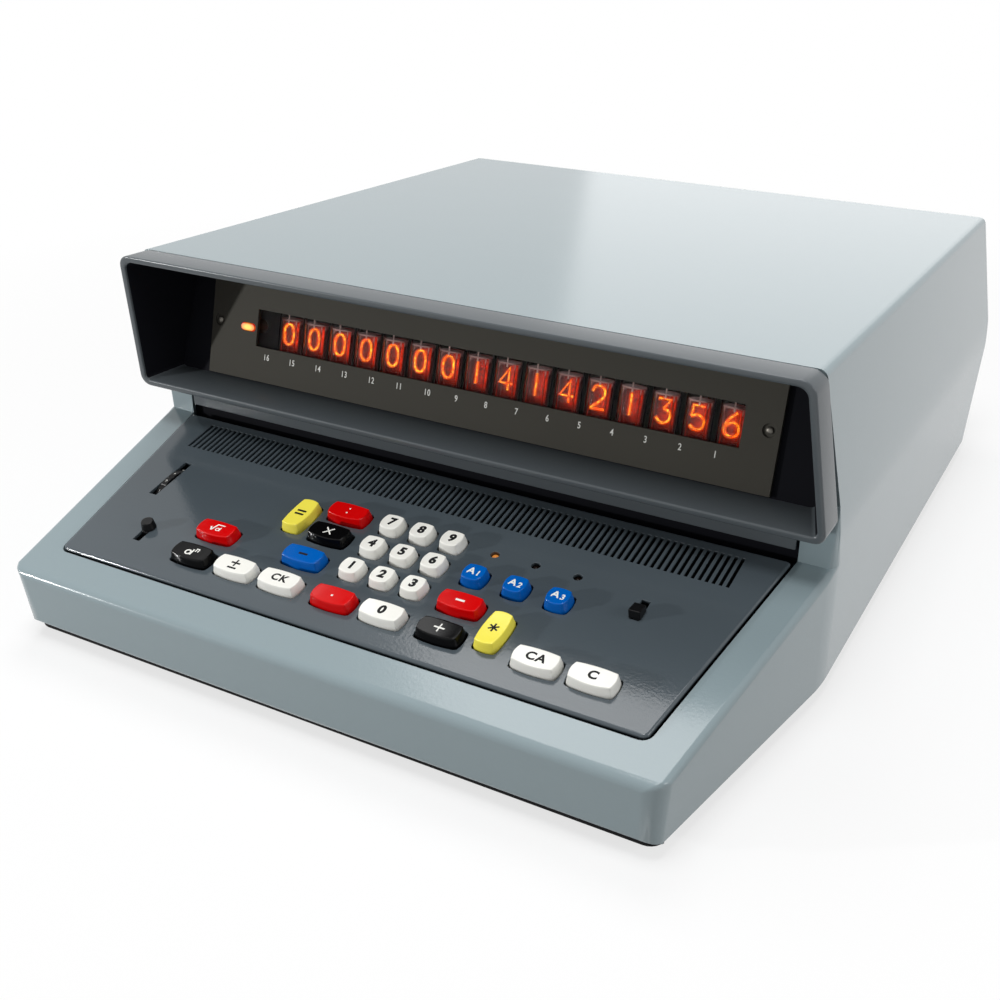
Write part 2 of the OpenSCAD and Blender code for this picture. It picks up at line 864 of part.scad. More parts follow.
module keyboard_panel() {
    color("darkslategray")
        difference() {
            on_panel(0, 0, -panel_t)
                linear_extrude(panel_t)
                    polygon(rounded(
                        inset(panel_line, panel_gap),
                        [edge_r - panel_gap, 2, 2, edge_r - panel_gap]
                    ));
            for (k = KEYS)
                on_panel(k[1], k[2], -2 * panel_t)
                    linear_extrude(4 * panel_t)
                        polygon(bowed(k[3] + 2 * key_gap, k[4] + 2 * key_gap));
            for (n = [0 : vent_count - 1])
                on_panel((n - (vent_count - 1) / 2) * vent_pitch - vent_pitch / 4, vent_v, -2 * panel_t)
                    cube([vent_pitch / 2, vent_l, 4 * panel_t]);
            for (n = [0 : 2])
                on_panel(memory_x + n * memory_pitch, lamp_v, -2 * panel_t)
                    cylinder(d = lamp_d, h = 4 * panel_t);
            for (s = [left_slide, right_slide])
                on_panel(s[0] - slide_slot[0] / 2, s[1] - slide_slot[1] / 2, -2 * panel_t)
                    cube([slide_slot[0], slide_slot[1], 4 * panel_t]);
            on_panel(wheel_at[0] - wheel_slot[0] / 2, wheel_at[1] - wheel_slot[1] / 2, -2 * panel_t)
                cube([wheel_slot[0], wheel_slot[1], 4 * panel_t]);
        }
}

// Pillars from the base up to the panel, and spacers from the panel down to its board
module panel_pillars() {
    color("silver") {
        difference() {
            for (side = [-1, 1], v = pillar_v)
                translate([side * (opening_half(v) - 14), panel_y + v * cos(deck_slope), floor_z])
                    cylinder(d = 8, h = case_h / 2);
            on_panel(-case_w, -case_l, -panel_t)
                cube([2 * case_w, 2 * case_l, case_h]);
        }
        for (p = spacer_spots)
            on_panel(p[0], p[1], -board_drop)
                cylinder(d = 6, h = board_drop - panel_t);
    }
}

module keyboard_board() {
    color("darkgreen")
        on_panel(board_x[0], board_v[0], -board_drop - board_t)
            cube([board_x[1] - board_x[0], board_v[1] - board_v[0], board_t]);
}

// Closed switch housings with a square guide for each key stem
module key_switches() {
    guide = stem_w + 2 * slide_gap;
    color("black")
        for (k = KEYS)
            on_panel(k[1], k[2], -board_drop)
                difference() {
                    translate([-switch_w / 2, -switch_w / 2, 0])
                        cube([switch_w, switch_w, switch_h]);
                    translate([-guide / 2, -guide / 2, 1])
                        cube([guide, guide, switch_h]);
                }
}

// Key cap with tapered shoulders, a dished top, a hollow underside and a square stem
module key_cap(w, l) {
    shoulder = key_rise - 4;
    round_r = 45;
    difference() {
        union() {
            translate([0, 0, -key_skirt])
                linear_extrude(key_skirt + shoulder)
                    polygon(bowed(w, l));
            hull() {
                translate([0, 0, shoulder - 0.01])
                    linear_extrude(0.01)
                        polygon(bowed(w, l));
                translate([0, 0, key_rise - 0.8])
                    linear_extrude(0.01)
                        polygon(bowed(w - 1.2, l - 1.2));
                translate([0, 0, key_rise - 0.01])
                    linear_extrude(0.01)
                        polygon(bowed(w - 2.6, l - 2.6));
            }
        }
        translate([0, 0, key_rise + round_r - 0.4])
            rotate(w < l ? [0, 90, 0] : [90, 0, 0])
                cylinder(r = round_r, h = 2 * key_long, center = true, $fn = 96);
        translate([-w / 2 + 2.5, -l / 2 + 2.5, -key_skirt - 1])
            cube([w - 5, l - 5, key_skirt + 2]);
    }
    translate([-stem_w / 2, -stem_w / 2, -key_skirt - stem_l])
        cube([stem_w, stem_w, stem_l + key_skirt + 1.5]);
}

module key(k) {
    color(k[5])
        on_panel(k[1], k[2])
            key_cap(k[3], k[4]);
}

// Bodies of the two slide switches, fixed under the panel, with a channel for the knob's shank
module slide_bodies() {
    color("dimgray")
        for (s = [left_slide, right_slide])
            on_panel(s[0], s[1], -panel_t - slide_body[2])
                difference() {
                    translate([-slide_body[0] / 2, -slide_body[1] / 2, 0])
                        cube(slide_body);
                    translate([-slide_slot[0] / 2, -slide_slot[1] / 2, 2])
                        cube([slide_slot[0], slide_slot[1], slide_body[2]]);
                }
}

module slide_shank() {
    w = slide_slot[0] - 2 * slide_gap;
    l = slide_slot[1] - slide_travel - 2 * slide_gap;
    translate([-w / 2, -l / 2, -panel_t - slide_body[2] + 2 + slide_gap])
        cube([w, l, panel_t + slide_body[2] - 2]);
}

// Round-headed lever, at the rear of its slot
module slide_left() {
    color("black")
        on_panel(left_slide[0], left_slide[1] + slide_half) {
            slide_shank();
            translate([0, 0.5, slide_gap])
                cylinder(d1 = 8.5, d2 = 7, h = 5);
        }
}

// Square lever with a sloping top, at the front of its slot
module slide_right() {
    color("black")
        on_panel(right_slide[0], right_slide[1] - slide_half) {
            slide_shank();
            difference() {
                translate([-3.2, -4, slide_gap])
                    cube([6.4, 8, 5.5]);
                translate([-5, -4, 5.75])
                    rotate([-12, 0, 0])
                        cube([10, 12, 4]);
            }
        }
}

// Bracket with two cheeks that carry the wheel's axle
module wheel_bracket() {
    foot = wheel_drop + 6;
    color("silver")
        difference() {
            for (side = [-1, 1])
                on_panel(wheel_at[0] + side * bracket_x, wheel_at[1], -panel_t)
                    translate([-sheet / 2, -8, panel_t - foot])
                        cube([sheet, 16, foot - panel_t]);
            on_panel(wheel_at[0], wheel_at[1], -wheel_drop)
                rotate([0, 90, 0])
                    cylinder(r = axle_r + axle_fit, h = 40, center = true);
        }
}

// Notched wheel with its axle
module decimal_wheel() {
    color("black")
        on_panel(wheel_at[0], wheel_at[1], -wheel_drop)
            rotate([0, 90, 0]) {
                difference() {
                    cylinder(r = wheel_r, h = wheel_t, center = true);
                    for (n = [0 : 19])
                        rotate(n * 18)
                            translate([wheel_r + 0.5, 0, 0])
                                cylinder(r = 1, h = 2 * wheel_t, center = true);
                }
                cylinder(r = 2 * axle_r, h = 2 * (bracket_x - sheet / 2 - slide_gap), center = true);
                cylinder(r = axle_r, h = 2 * bracket_x + 2 * sheet, center = true);
            }
}

// Small glow lamps in holders, just under the panel's face
module indicator_lamps() {
    color("orange")
        for (n = [0 : 2])
            on_panel(memory_x + n * memory_pitch, lamp_v, -board_drop) {
                cylinder(d = lamp_d + 3, h = board_drop - panel_t - 6);
                cylinder(d = lamp_d - 0.8, h = board_drop - 3);
                translate([0, 0, board_drop - 3])
                    sphere(d = lamp_d - 0.8);
            }
}

// Folded tray with side flanges and bosses for the backplane
module chassis() {
    length = chassis_y[1] - chassis_y[0];
    color("silver") {
        translate([-chassis_half, chassis_y[0], floor_z])
            cube([2 * chassis_half, length, sheet]);
        for (side = [-1, 1])
            translate([side * (chassis_half - sheet / 2), chassis_y[0] + length / 2, floor_z + flange_h / 2])
                cube([sheet, length - 2 * flange_end, flange_h], center = true);
        for (x = [-1, 1], y = [0.1, 0.9])
            translate([x * (card_count * card_pitch / 2 - 14), card_y + y * card_l, chassis_z])
                cylinder(d = 8, h = backplane_z - chassis_z);
    }
}

// Board with one edge connector for each logic card
module backplane() {
    connector = 10;
    color("darkgreen") {
        translate([-card_count * card_pitch / 2 - 8, card_y - 4, backplane_z])
            cube([card_count * card_pitch + 8, card_l + 8, board_t]);
        for (n = [0 : card_count - 1])
            translate([card_x + n * card_pitch, card_y + card_l / 2, backplane_z + board_t + connector / 2])
                difference() {
                    cube([7, card_l - 20, connector], center = true);
                    translate([0, 0, 2])
                        cube([board_t + 2 * gap, card_l - 24, connector], center = true);
                }
    }
}

module logic_cards() {
    color("seagreen")
        for (n = [0 : card_count - 1])
            translate([card_x + n * card_pitch - board_t / 2, card_y, backplane_z + board_t + 2]) {
                translate([0, 13, 0])
                    cube([board_t, card_l - 26, 8]);
                translate([0, 0, 8.5])
                    cube([board_t, card_l, card_h - 8.5]);
                translate([0, 13, 7])
                    cube([board_t, card_l - 26, 2]);
                for (c = [0 : chip_columns - 1], level = [0, 1])
                    translate([board_t, 14 + c * chip_pitch, 22 + level * 34])
                        cube([4, 12, 22]);
            }
}

// Laminated core with a winding on its middle limb, standing on the chassis
module transformer() {
    color("gray")
        translate([chassis_half - core_x, chassis_y[1] - power_y, chassis_z]) {
            difference() {
                translate([-core_w / 2, -core_l / 2, 0])
                    cube([core_w, core_l, core_h]);
                for (side = [-1, 1])
                    translate([side * (core_w / 4 + 0.5), 0, core_h / 2])
                        cube([core_w / 2 - 2 * core_leg, 2 * core_l, core_h - 2 * core_leg], center = true);
            }
            translate([0, 0, core_h / 2])
                cube([coil_w, coil_l, coil_h], center = true);
        }
}

module capacitors() {
    color("gainsboro")
        for (n = [0 : 3])
            translate([can_x - chassis_half + n * can_pitch, chassis_y[1] - power_y, chassis_z]) {
                cylinder(d = can_d, h = can_h);
                translate([0, 0, can_h])
                    cylinder(d = can_d - 5, h = 2);
            }
}

case_shell();
base_plate();
feet();
case_screws();
rear_panel();
mains_inlet();
fuse_holder();
hood_frame();
neck_strip();
bulkhead();
display_panel();
window_glass();
display_screws();
pilot_lamp();
tube_board();
tube_sockets();
tube_electrodes();
tube_envelopes();
keyboard_panel();
panel_pillars();
keyboard_board();
key_switches();
slide_bodies();
wheel_bracket();
indicator_lamps();
chassis();
backplane();
logic_cards();
transformer();
capacitors();
slide_left();
slide_right();
decimal_wheel();
for (k = KEYS)
    key(k);
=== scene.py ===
# %% [markdown]
# # A desk calculator with sixteen glow-discharge number tubes
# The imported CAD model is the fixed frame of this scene. Every piece below sits where its solid sits, in metres, with
# X to the right, Y to the rear and Z up, and rides on the body that carries it. The solids give size and place; this
# lesson gives the enamel, the moulded keys, the blown glass and the glowing wires.

# %% Load the frame
import math
import bmesh
import bpy
from mathutils import Matrix, Vector


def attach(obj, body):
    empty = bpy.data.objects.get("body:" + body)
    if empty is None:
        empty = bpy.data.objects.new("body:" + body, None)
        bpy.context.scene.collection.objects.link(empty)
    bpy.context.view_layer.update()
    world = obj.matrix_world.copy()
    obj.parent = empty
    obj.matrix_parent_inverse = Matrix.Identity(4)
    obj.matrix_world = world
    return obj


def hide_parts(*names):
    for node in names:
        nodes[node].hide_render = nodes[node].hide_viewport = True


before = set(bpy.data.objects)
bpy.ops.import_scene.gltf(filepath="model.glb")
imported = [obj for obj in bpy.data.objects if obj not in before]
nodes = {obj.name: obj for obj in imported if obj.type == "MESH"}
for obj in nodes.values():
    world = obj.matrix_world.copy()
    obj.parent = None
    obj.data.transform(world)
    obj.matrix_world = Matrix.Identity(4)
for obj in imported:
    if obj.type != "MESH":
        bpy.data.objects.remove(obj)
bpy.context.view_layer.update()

# %% [markdown]
# The drawing of this machine is in millimetres, and three of its faces lean: the keyboard, the display and the rear.
# Each leaning face gets a matrix, so that a piece is drawn flat in that face's own millimetres and then laid in place.
# Drawing in place would work too, but then every number would carry a slope.

# %% Frames of the leaning faces
MM = Matrix.Scale(0.001, 4)


def leaning(y, z, degrees):
    """Matrix of a face that starts at y and z, in millimetres, and is turned about the X axis."""
    return Matrix.Translation((0, y / 1000, z / 1000)) @ Matrix.Rotation(math.radians(degrees), 4, "X") @ MM


PANEL_SLOPE = 11.5
WORLD = MM
PANEL = leaning(-259.821, 52.8493, PANEL_SLOPE)
DISPLAY = leaning(-120.7, 111.7, -15)
REAR = leaning(282, 84.5, 13)
print("keyboard face starts at", [round(v, 4) for v in PANEL.translation])

# %% [markdown]
# The camera comes first, because everything is judged through it. It stands in front, to the right and above, with a
# normal lens. Its place was solved from the straight edges of the case, and the aim is given as a direction.

# %% Camera
lens = bpy.data.cameras.new("photo_camera")
lens.lens = 45.654
lens.sensor_width = 36
lens.clip_start = 0.01
camera = bpy.data.objects.new("photo_camera", lens)
bpy.context.scene.collection.objects.link(camera)
camera.location = (0.3416, -0.6834, 0.3976)
camera.rotation_euler = Vector((-0.4356, 0.7792, -0.4506)).to_track_quat("-Z", "Y").to_euler()
bpy.context.scene.camera = camera
bpy.context.scene.view_settings.view_transform = "Standard"
print("camera at", tuple(round(v, 3) for v in camera.location))

# %% [markdown]
# Shader maths reads best as plain sums. `Value` wraps a socket, and its operators add Math nodes, so that a sum of two
# textures is written with a plus sign and not as a list of nodes and links.

# %% Sums of sockets
class Value:
    """A socket that can be used in sums."""

    def __init__(self, finish, socket):
        self.finish = finish
        self.socket = socket

    def maths(self, operation, first, second=0.0):
        return self.finish.node("ShaderNodeMath", {"operation": operation}, {0: first, 1: second})

    def __add__(self, other):
        return self.maths("ADD", self, other)

    def __sub__(self, other):
        return self.maths("SUBTRACT", self, other)

    def __rsub__(self, other):
        return self.maths("SUBTRACT", other, self)

    def __mul__(self, other):
        return self.maths("MULTIPLY", self, other)

    def __abs__(self):
        return self.maths("ABSOLUTE", self)

    __radd__ = __add__


print("sums of sockets ready")

# %% [markdown]
# `Finish` is one material with one method that adds any other node, so each finish further down is a few lines. Colours
# are written as they look on a screen, from 0 to 255, and turned into the linear values that shaders count in.

# %% Shader tools
class Finish:
    """A material, or the world, whose nodes all come from one method."""

    def __init__(self, name, owner=None):
        self.owner = owner or bpy.data.materials.new(name)
        self.owner.use_nodes = True
        self.tree = self.owner.node_tree
        self.shader = self.tree.nodes.get("Principled BSDF")

    def node(self, kind, settings=None, sockets=None, out=0):
        node = self.tree.nodes.new(kind)
        for key, value in (settings or {}).items():
            setattr(node, key, value)
        for key, value in (sockets or {}).items():
            self.join(node.inputs[key], value)
        return Value(self, node.outputs[out])

    def join(self, socket, value):
        if isinstance(value, Value):
            self.tree.links.new(value.socket, socket)
        else:
            socket.default_value = value

    def use(self, **sockets):
        """Sets the main shader's sockets; base_color stands for Base Color."""
        for key, value in sockets.items():
            self.join(self.shader.inputs[key.replace("_", " ").title().replace("Ior", "IOR")], value)

    def place(self):
        return self.node("ShaderNodeTexCoord", out="Object")

    def along(self, axis):
        """Distance from the origin along one axis, in metres."""
        return self.node("ShaderNodeSeparateXYZ", None, {0: self.place()}, out=axis)

    def noise(self, scale, detail=2.0):
        return self.node("ShaderNodeTexNoise", None, {"Vector": self.place(), "Scale": scale, "Detail": detail})

    def mix(self, factor, first, second):
        return self.node("ShaderNodeMix", {"data_type": "RGBA"}, {0: factor, 6: first, 7: second}, out=2)

    def ramp(self, value, low, high):
        """Zero below low and one above high."""
        return self.node("ShaderNodeMapRange", None, {0: value, 1: low, 2: high})

    def bump(self, height, depth, strength=0.5):
        return self.node("ShaderNodeBump", None, {"Height": height, "Distance": depth, "Strength": strength})


def srgb(red, green, blue):
    """Linear colour of a screen colour from 0 to 255."""
    parts = [v / 255 for v in (red, green, blue)]
    return tuple(v / 12.92 if v <= 0.04045 else ((v + 0.055) / 1.055) ** 2.4 for v in parts) + (1.0,)


def shade(colour, factor):
    return tuple(v * factor for v in colour[:3]) + (1.0,)


print("shader tools ready")

# %% [markdown]
# The machine stands on a plain pale floor in a white studio. The white behind the object comes from Light Path: camera,
# glossy and transmission rays see white, while the light that falls on the object stays at a plain level. A world that
# is white for every ray would be simpler, but it would wash out the shadows. The floor mixes that white with a matt
# surface near the object, so it keeps the shadow.

# %% World and floor
def white_rays(finish):
    """One for the rays that look at the background, zero for those that light the scene."""
    seen = [finish.node("ShaderNodeLightPath", out=f"Is {kind} Ray") for kind in ("Camera", "Glossy", "Transmission")]
    return seen[0] + seen[1] + seen[2]


def show(finish, output, shader):
    finish.join(finish.tree.nodes[output].inputs["Surface"], shader)


WHITE = (1, 1, 1, 1)
AMBIENT = 0.12
NEAR_WHITE = 0.72
FADE_FROM, FADE_TO = 0.35, 0.9
world = bpy.data.worlds.new("studio")
bpy.context.scene.world = world
sky = Finish("studio", world)
looking = sky.node("ShaderNodeBackground", None, {"Color": WHITE, "Strength": 1.0})
lighting = sky.node("ShaderNodeBackground", None, {"Color": WHITE, "Strength": AMBIENT})
show(sky, "World Output", sky.node("ShaderNodeMixShader", None, {0: white_rays(sky), 1: lighting, 2: looking}))

floor_paint = Finish("floor_paint")
looked_at = white_rays(floor_paint)
pale = floor_paint.mix(floor_paint.noise(3.0), srgb(246, 246, 246), srgb(250, 250, 250))
floor_colour = floor_paint.mix(looked_at, srgb(176, 176, 176), pale)
matt = floor_paint.node("ShaderNodeBsdfDiffuse", None, {"Color": floor_colour})
white = floor_paint.node("ShaderNodeEmission", None, {"Color": WHITE, "Strength": 1.0})
reach = floor_paint.node("ShaderNodeVectorMath", {"operation": "LENGTH"}, {0: floor_paint.place()}, out="Value")
far = floor_paint.ramp(reach, FADE_FROM, FADE_TO)
whiteness = looked_at * (NEAR_WHITE + far * (1 - NEAR_WHITE))
show(floor_paint, "Material Output",
     floor_paint.node("ShaderNodeMixShader", None, {0: whiteness, 1: matt, 2: white}))

bm = bmesh.new()
bmesh.ops.create_grid(bm, x_segments=1, y_segments=1, size=8)
floor_mesh = bpy.data.meshes.new("floor")
bm.to_mesh(floor_mesh)
bm.free()
floor_mesh.materials.append(floor_paint.owner)
floor = bpy.data.objects.new("floor", floor_mesh)
bpy.context.scene.collection.objects.link(floor)
print("world and floor made")

# %% [markdown]
# The studio light is soft. A large lamp panel hangs above and behind, where the glossy deck and keyboard mirror it
# towards the camera. A small low lamp at the front left reaches under the hood, one above the front lights the keys,
# one far behind brightens the lid's gloss, and one at the right lifts that side. All are area lamps, because the size
# of an area lamp sets how soft its shadow is.

# %% Lamps
def lamp(name, place, aim, size, watts):
    light = bpy.data.lights.new(name, "AREA")
    light.size = size
    light.energy = watts
    holder = bpy.data.objects.new(name, light)
    bpy.context.scene.collection.objects.link(holder)
    holder.location = place
    holder.rotation_euler = (Vector(aim) - Vector(place)).to_track_quat("-Z", "Y").to_euler()


lamp("ceiling", (-0.4, 0.72, 2.0), (0, 0, 0.1), 1.1, 15)
lamp("front_left", (-1.45, -1.43, 0.32), (0, -0.12, 0.12), 0.06, 19.5)
lamp("front_above", (0.1, -0.65, 2.2), (0, -0.2, 0.1), 0.9, 27)
lamp("rear", (-0.3, 2.4, 0.9), (0, 0, 0.15), 1.6, 5.0)
lamp("right", (1.9, -0.1, 0.8), (0.2, 0, 0.1), 0.9, 10.5)
print("lamps:", len(bpy.data.lights))

# %% [markdown]
# Most finishes here are paint or plastic: a colour that drifts a little over the piece, a gloss that drifts with it,
# and a fine skin such as the orange peel of sprayed enamel. One function makes that family. Noise on Object
# coordinates keeps the pattern fixed to the piece.

# %% A family of finishes
def coating(name, colour, gloss, skin=900.0, depth=0.00002, drift=0.06, metal=0.0, shine=0.5):
    """Paint, plastic or metal with a drifting colour and a fine skin."""
    finish = Finish(name)
    cloud = finish.noise(14.0, 2.0)
    grain = finish.noise(skin, 2.0)
    finish.use(base_color=finish.mix(cloud * 0.7 + grain * 0.3, shade(colour, 1 - drift), shade(colour, 1 + drift)),
               roughness=gloss + (cloud - 0.5) * 0.06, metallic=metal, specular_ior_level=shine,
               normal=finish.bump(grain, depth))
    return finish


case_paint = coating("case_paint", srgb(140, 156, 161), 0.15, 600.0, 0.00008, 0.02)
slate_paint = coating("slate_paint", srgb(85, 91, 95), 0.26, 700.0, 0.00005, 0.03, 0.0, 0.35)
black_steel = coating("black_steel", srgb(10, 10, 11), 0.55, 1200.0, 0.00002, 0.15, 0.0, 0.1)
matt_black = coating("matt_black", srgb(10, 11, 17), 0.75, 1600.0, 0.00003, 0.2, 0.0, 0.1)
foot_rubber = coating("foot_rubber", srgb(28, 27, 27), 0.8, 1500.0, 0.00005, 0.12)
screw_steel = coating("screw_steel", srgb(196, 196, 198), 0.28, 2500.0, 0.00001, 0.05, 1.0)
dull_nickel = coating("dull_nickel", srgb(104, 101, 95), 0.45, 2500.0, 0.00002, 0.1, 1.0)
black_plastic = coating("black_plastic", srgb(12, 12, 13), 0.35, 1500.0, 0.00002, 0.15, 0.0, 0.2)
slate_plastic = coating("slate_plastic", srgb(70, 76, 82), 0.5, 1500.0, 0.00003, 0.08)
display_sheet = coating("display_sheet", srgb(77, 75, 69), 0.6, 2600.0, 0.00002, 0.07, 0.0, 0.05)
circuit_board = coating("circuit_board", srgb(36, 78, 52), 0.45, 900.0, 0.00002, 0.18)
brown_board = coating("brown_board", srgb(40, 23, 15), 0.5, 900.0, 0.00002, 0.2, 0.0, 0.3)
socket_plastic = coating("socket_plastic", srgb(30, 20, 16), 0.5, 1500.0, 0.00002, 0.1)
zinc_steel = coating("zinc_steel", srgb(176, 180, 182), 0.4, 300.0, 0.00001, 0.08, 1.0)
core_steel = coating("core_steel", srgb(92, 88, 84), 0.5, 800.0, 0.00004, 0.12, 0.6)
can_aluminium = coating("can_aluminium", srgb(200, 202, 204), 0.35, 800.0, 0.00001, 0.05, 1.0)
white_ink = coating("white_ink", srgb(240, 240, 234), 0.6, 3000.0, 0.00001, 0.03)
dark_ink = coating("dark_ink", srgb(12, 12, 14), 0.5, 3000.0, 0.00001, 0.1, 0.0, 0.2)
KEY_FINISHES = {
    "white": coating("key_white", srgb(248, 247, 240), 0.22, 1300.0, 0.00002, 0.012),
    "red": coating("key_red", srgb(214, 4, 6), 0.2, 1300.0, 0.00002, 0.05, 0.0, 0.2),
    "blue": coating("key_blue", srgb(0, 94, 184), 0.2, 1300.0, 0.00002, 0.05, 0.0, 0.2),
    "yellow": coating("key_yellow", srgb(254, 240, 88), 0.22, 1300.0, 0.00002, 0.02, 0.0, 0.4),
    "black": coating("key_black", srgb(8, 8, 9), 0.16, 1300.0, 0.00002, 0.15, 0.0, 0.14),
}
print("finishes:", len(bpy.data.materials))

# %% [markdown]
# Every new piece is finished in the same way: its mesh is laid in place with the matrix of its face, gets its finish,
# and is told which body it rides on and which solid it stands for.

# %% Finishing a piece
SLIVER = 0.004


def smooth_edges(mesh, degrees):
    mesh.polygons.foreach_set("use_smooth", [True] * len(mesh.polygons))
    mesh.set_sharp_from_angle(angle=math.radians(degrees))


def piece(name, bm, finish, face=WORLD, body="housing", stands_for=(), sharp=35):
    bmesh.ops.dissolve_degenerate(bm, edges=bm.edges, dist=SLIVER)
    bmesh.ops.transform(bm, matrix=face, verts=bm.verts)
    mesh = bpy.data.meshes.new(name)
    bm.to_mesh(mesh)
    bm.free()
    smooth_edges(mesh, sharp)
    mesh.materials.append(finish.owner)
    made = bpy.data.objects.new(name, mesh)
    bpy.context.scene.collection.objects.link(made)
    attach(made, body)
    if stands_for:
        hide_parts(*stands_for)
    print(name, len(mesh.polygons), "faces on", body)
    return made


def bevel(bm, edges, width, segments=2):
    return bmesh.ops.bevel(bm, geom=list(edges), offset=width, affect="EDGES", segments=segments, profile=0.5,
                           material=-1, clamp_overlap=False)


def bevel_modifier(made, width, segments, limit="ANGLE", degrees=40):
    soften = made.modifiers.new("bevel", "BEVEL")
    soften.width = width
    soften.segments = segments
    soften.limit_method = limit
    soften.angle_limit = math.radians(degrees)
    soften.use_clamp_overlap = limit == "ANGLE"


print("piece tools ready")

# %% [markdown]
# The case is one large moulding with flat faces and rounded edges, so it is drawn as a cage of flat faces for the
# right half, to be mirrored. Its tables hold the corners in millimetres, the faces by the names of their corners, and
# the radius of each edge that the real moulding rounds. With names a wrong face is easy to find, which it isn't in a
# list of numbered points.

# %% Cage of the case
CASE = {
    "flange_mid": (0, -272.5, 10), "flange": (193.8, -272.5, 10),
    "foot_mid": (0, -277.9, 10), "foot": (193.0, -277.9, 10),
    "lip_mid": (0, -282, 46.5), "lip": (195.5, -282, 46.5),
    "mouth_mid": (0, -259.46, 51.086), "mouth": (179.12, -259.46, 51.086),
    "neck_in": (199.78, -120, 79.46), "neck_out": (219.2, -120, 79.46), "neck_foot": (220.0, -120, 10),
    "cheek_in": (199.78, -120, 105), "cheek": (218.9, -120, 105),
    "brow_mid": (0, -138.32, 190.58), "brow": (207.5, -138.32, 190.58),
    "crown_mid": (0, 261.7, 172.42), "crown": (207.5, 261.7, 172.42),
    "waist_mid": (0, 282, 84.5), "waist": (220.5, 282, 84.5),
    "heel_mid": (0, 246.47, 10), "heel": (220.5, 246.47, 10),
}
REAR_OPENING = {"low_mid": (0, 16), "low": (180, 16), "high": (180, 76.2), "high_mid": (0, 76.2)}
FACES = [
    ("flange_mid", "flange", "foot", "foot_mid"),
    ("foot_mid", "foot", "lip", "lip_mid"),
    ("lip_mid", "lip", "neck_out", "neck_in", "mouth", "mouth_mid"),
    ("neck_in", "neck_out", "cheek", "cheek_in"),
    ("foot", "neck_foot", "neck_out", "lip"),
    ("neck_foot", "heel", "waist", "cheek", "neck_out"),
    ("cheek", "waist", "crown", "brow"),
    ("brow", "crown", "crown_mid", "brow_mid"),
    ("waist_mid", "waist", "crown", "crown_mid", "high_mid", "high", "low", "low_mid"),
    ("heel_mid", "heel", "waist", "waist_mid"),
]
ROUNDED = {
    ("foot_mid", "foot"): 4, ("foot", "lip"): 10, ("lip_mid", "lip"): 5, ("lip", "neck_out"): 4,
    ("neck_foot", "neck_out"): 9, ("neck_out", "cheek"): 3, ("cheek", "waist"): 10, ("brow", "crown"): 4,
    ("crown", "crown_mid"): 5, ("waist", "crown"): 5, ("waist", "waist_mid"): 15, ("heel", "waist"): 5,
}
print("case cage:", len(CASE) + len(REAR_OPENING), "points and", len(FACES), "faces")

# %% [markdown]
# Each rounded edge carries a bevel weight, and one Bevel modifier rounds them all at once, which keeps the corners
# clean where three roundings meet. Solidify then gives the wall its thickness inwards, and a small second bevel breaks
# the rims. A boolean of three rounded blocks would leave sharp lines at those corners.

# %% Case shell
WIDEST = max(ROUNDED.values())
WALL = 0.003
RIM = 0.0013

bm = bmesh.new()
weight = bm.edges.layers.float.new("bevel_weight_edge")
point = {name: bm.verts.new(at) for name, at in CASE.items()}
for name, (x, up) in REAR_OPENING.items():
    point[name] = bm.verts.new(MM.inverted() @ REAR @ Vector((x, 0, up)))
for names in FACES:
    bm.faces.new([point[name] for name in names])
for (start, end), width in ROUNDED.items():
    bm.edges.get((point[start], point[end]))[weight] = width / WIDEST
for corner, radius in (("mouth", 5), ("low", 4), ("high", 4)):
    bmesh.ops.bevel(bm, geom=[point[corner]], offset=radius, affect="VERTICES", segments=4, profile=0.5, material=-1)
bmesh.ops.mirror(bm, geom=bm.verts[:] + bm.edges[:] + bm.faces[:], axis="X", merge_dist=0.01)
bmesh.ops.remove_doubles(bm, verts=bm.verts, dist=0.01)
bmesh.ops.recalc_face_normals(bm, faces=bm.faces)
if max(bm.faces, key=lambda face: face.calc_center_median().z).normal.z < 0:
    bmesh.ops.reverse_faces(bm, faces=bm.faces)
case = piece("case", bm, case_paint, stands_for=("case_shell",), sharp=180)
bevel_modifier(case, WIDEST / 1000, 6, "WEIGHT")
wall = case.modifiers.new("wall", "SOLIDIFY")
wall.thickness = WALL
wall.offset = -1
bevel_modifier(case, RIM, 3, degrees=60)
case.modifiers.new("flat_faces", "WEIGHTED_NORMAL")

# %% [markdown]
# The hood frame is a picture frame with a splayed inner reveal. It is a closed ring, so six four-cornered loops are
# drawn and bridged in turn: front inner edge, front outer edge, rear outer edge, rear lip, sleeve and reveal. A block
# with a hole cut through it would do too, but bridged loops give clean four-sided faces, which bevel well.

# %% Ring of the hood
HOOD_LOOPS = {
    "front_in": ((214.0, -143.7, 107.44), (204.63, -157.82, 187.56)),
    "front_out": ((218.5, -143.0, 103.5), (208.2, -158.52, 191.5)),
    "rear_out": ((218.5, -121.2, 102.5), (208.2, -139.2, 190.6)),
    "rear_lip": ((214.5, -121.2, 106.7), (204.5, -138.6, 186.7)),
    "sleeve": ((207.5, -118.0, 108.35), (199.2, -99.6, 180.6)),
    "reveal": ((205.5, -118.49, 110.28), (197.2, -100.17, 178.67)),
}
bm = bmesh.new()
loops = []
for low, high in HOOD_LOOPS.values():
    corners = [bm.verts.new((sign * x, y, z)) for (x, y, z), sign in ((low, 1), (high, 1), (high, -1), (low, -1))]
    loops.append([bm.edges.new((corners[n], corners[(n + 1) % 4])) for n in range(4)])
for n in range(len(loops)):
    bmesh.ops.bridge_loops(bm, edges=loops[n] + loops[(n + 1) % len(loops)])
bmesh.ops.recalc_face_normals(bm, faces=bm.faces)
print("hood ring:", len(bm.faces), "faces")
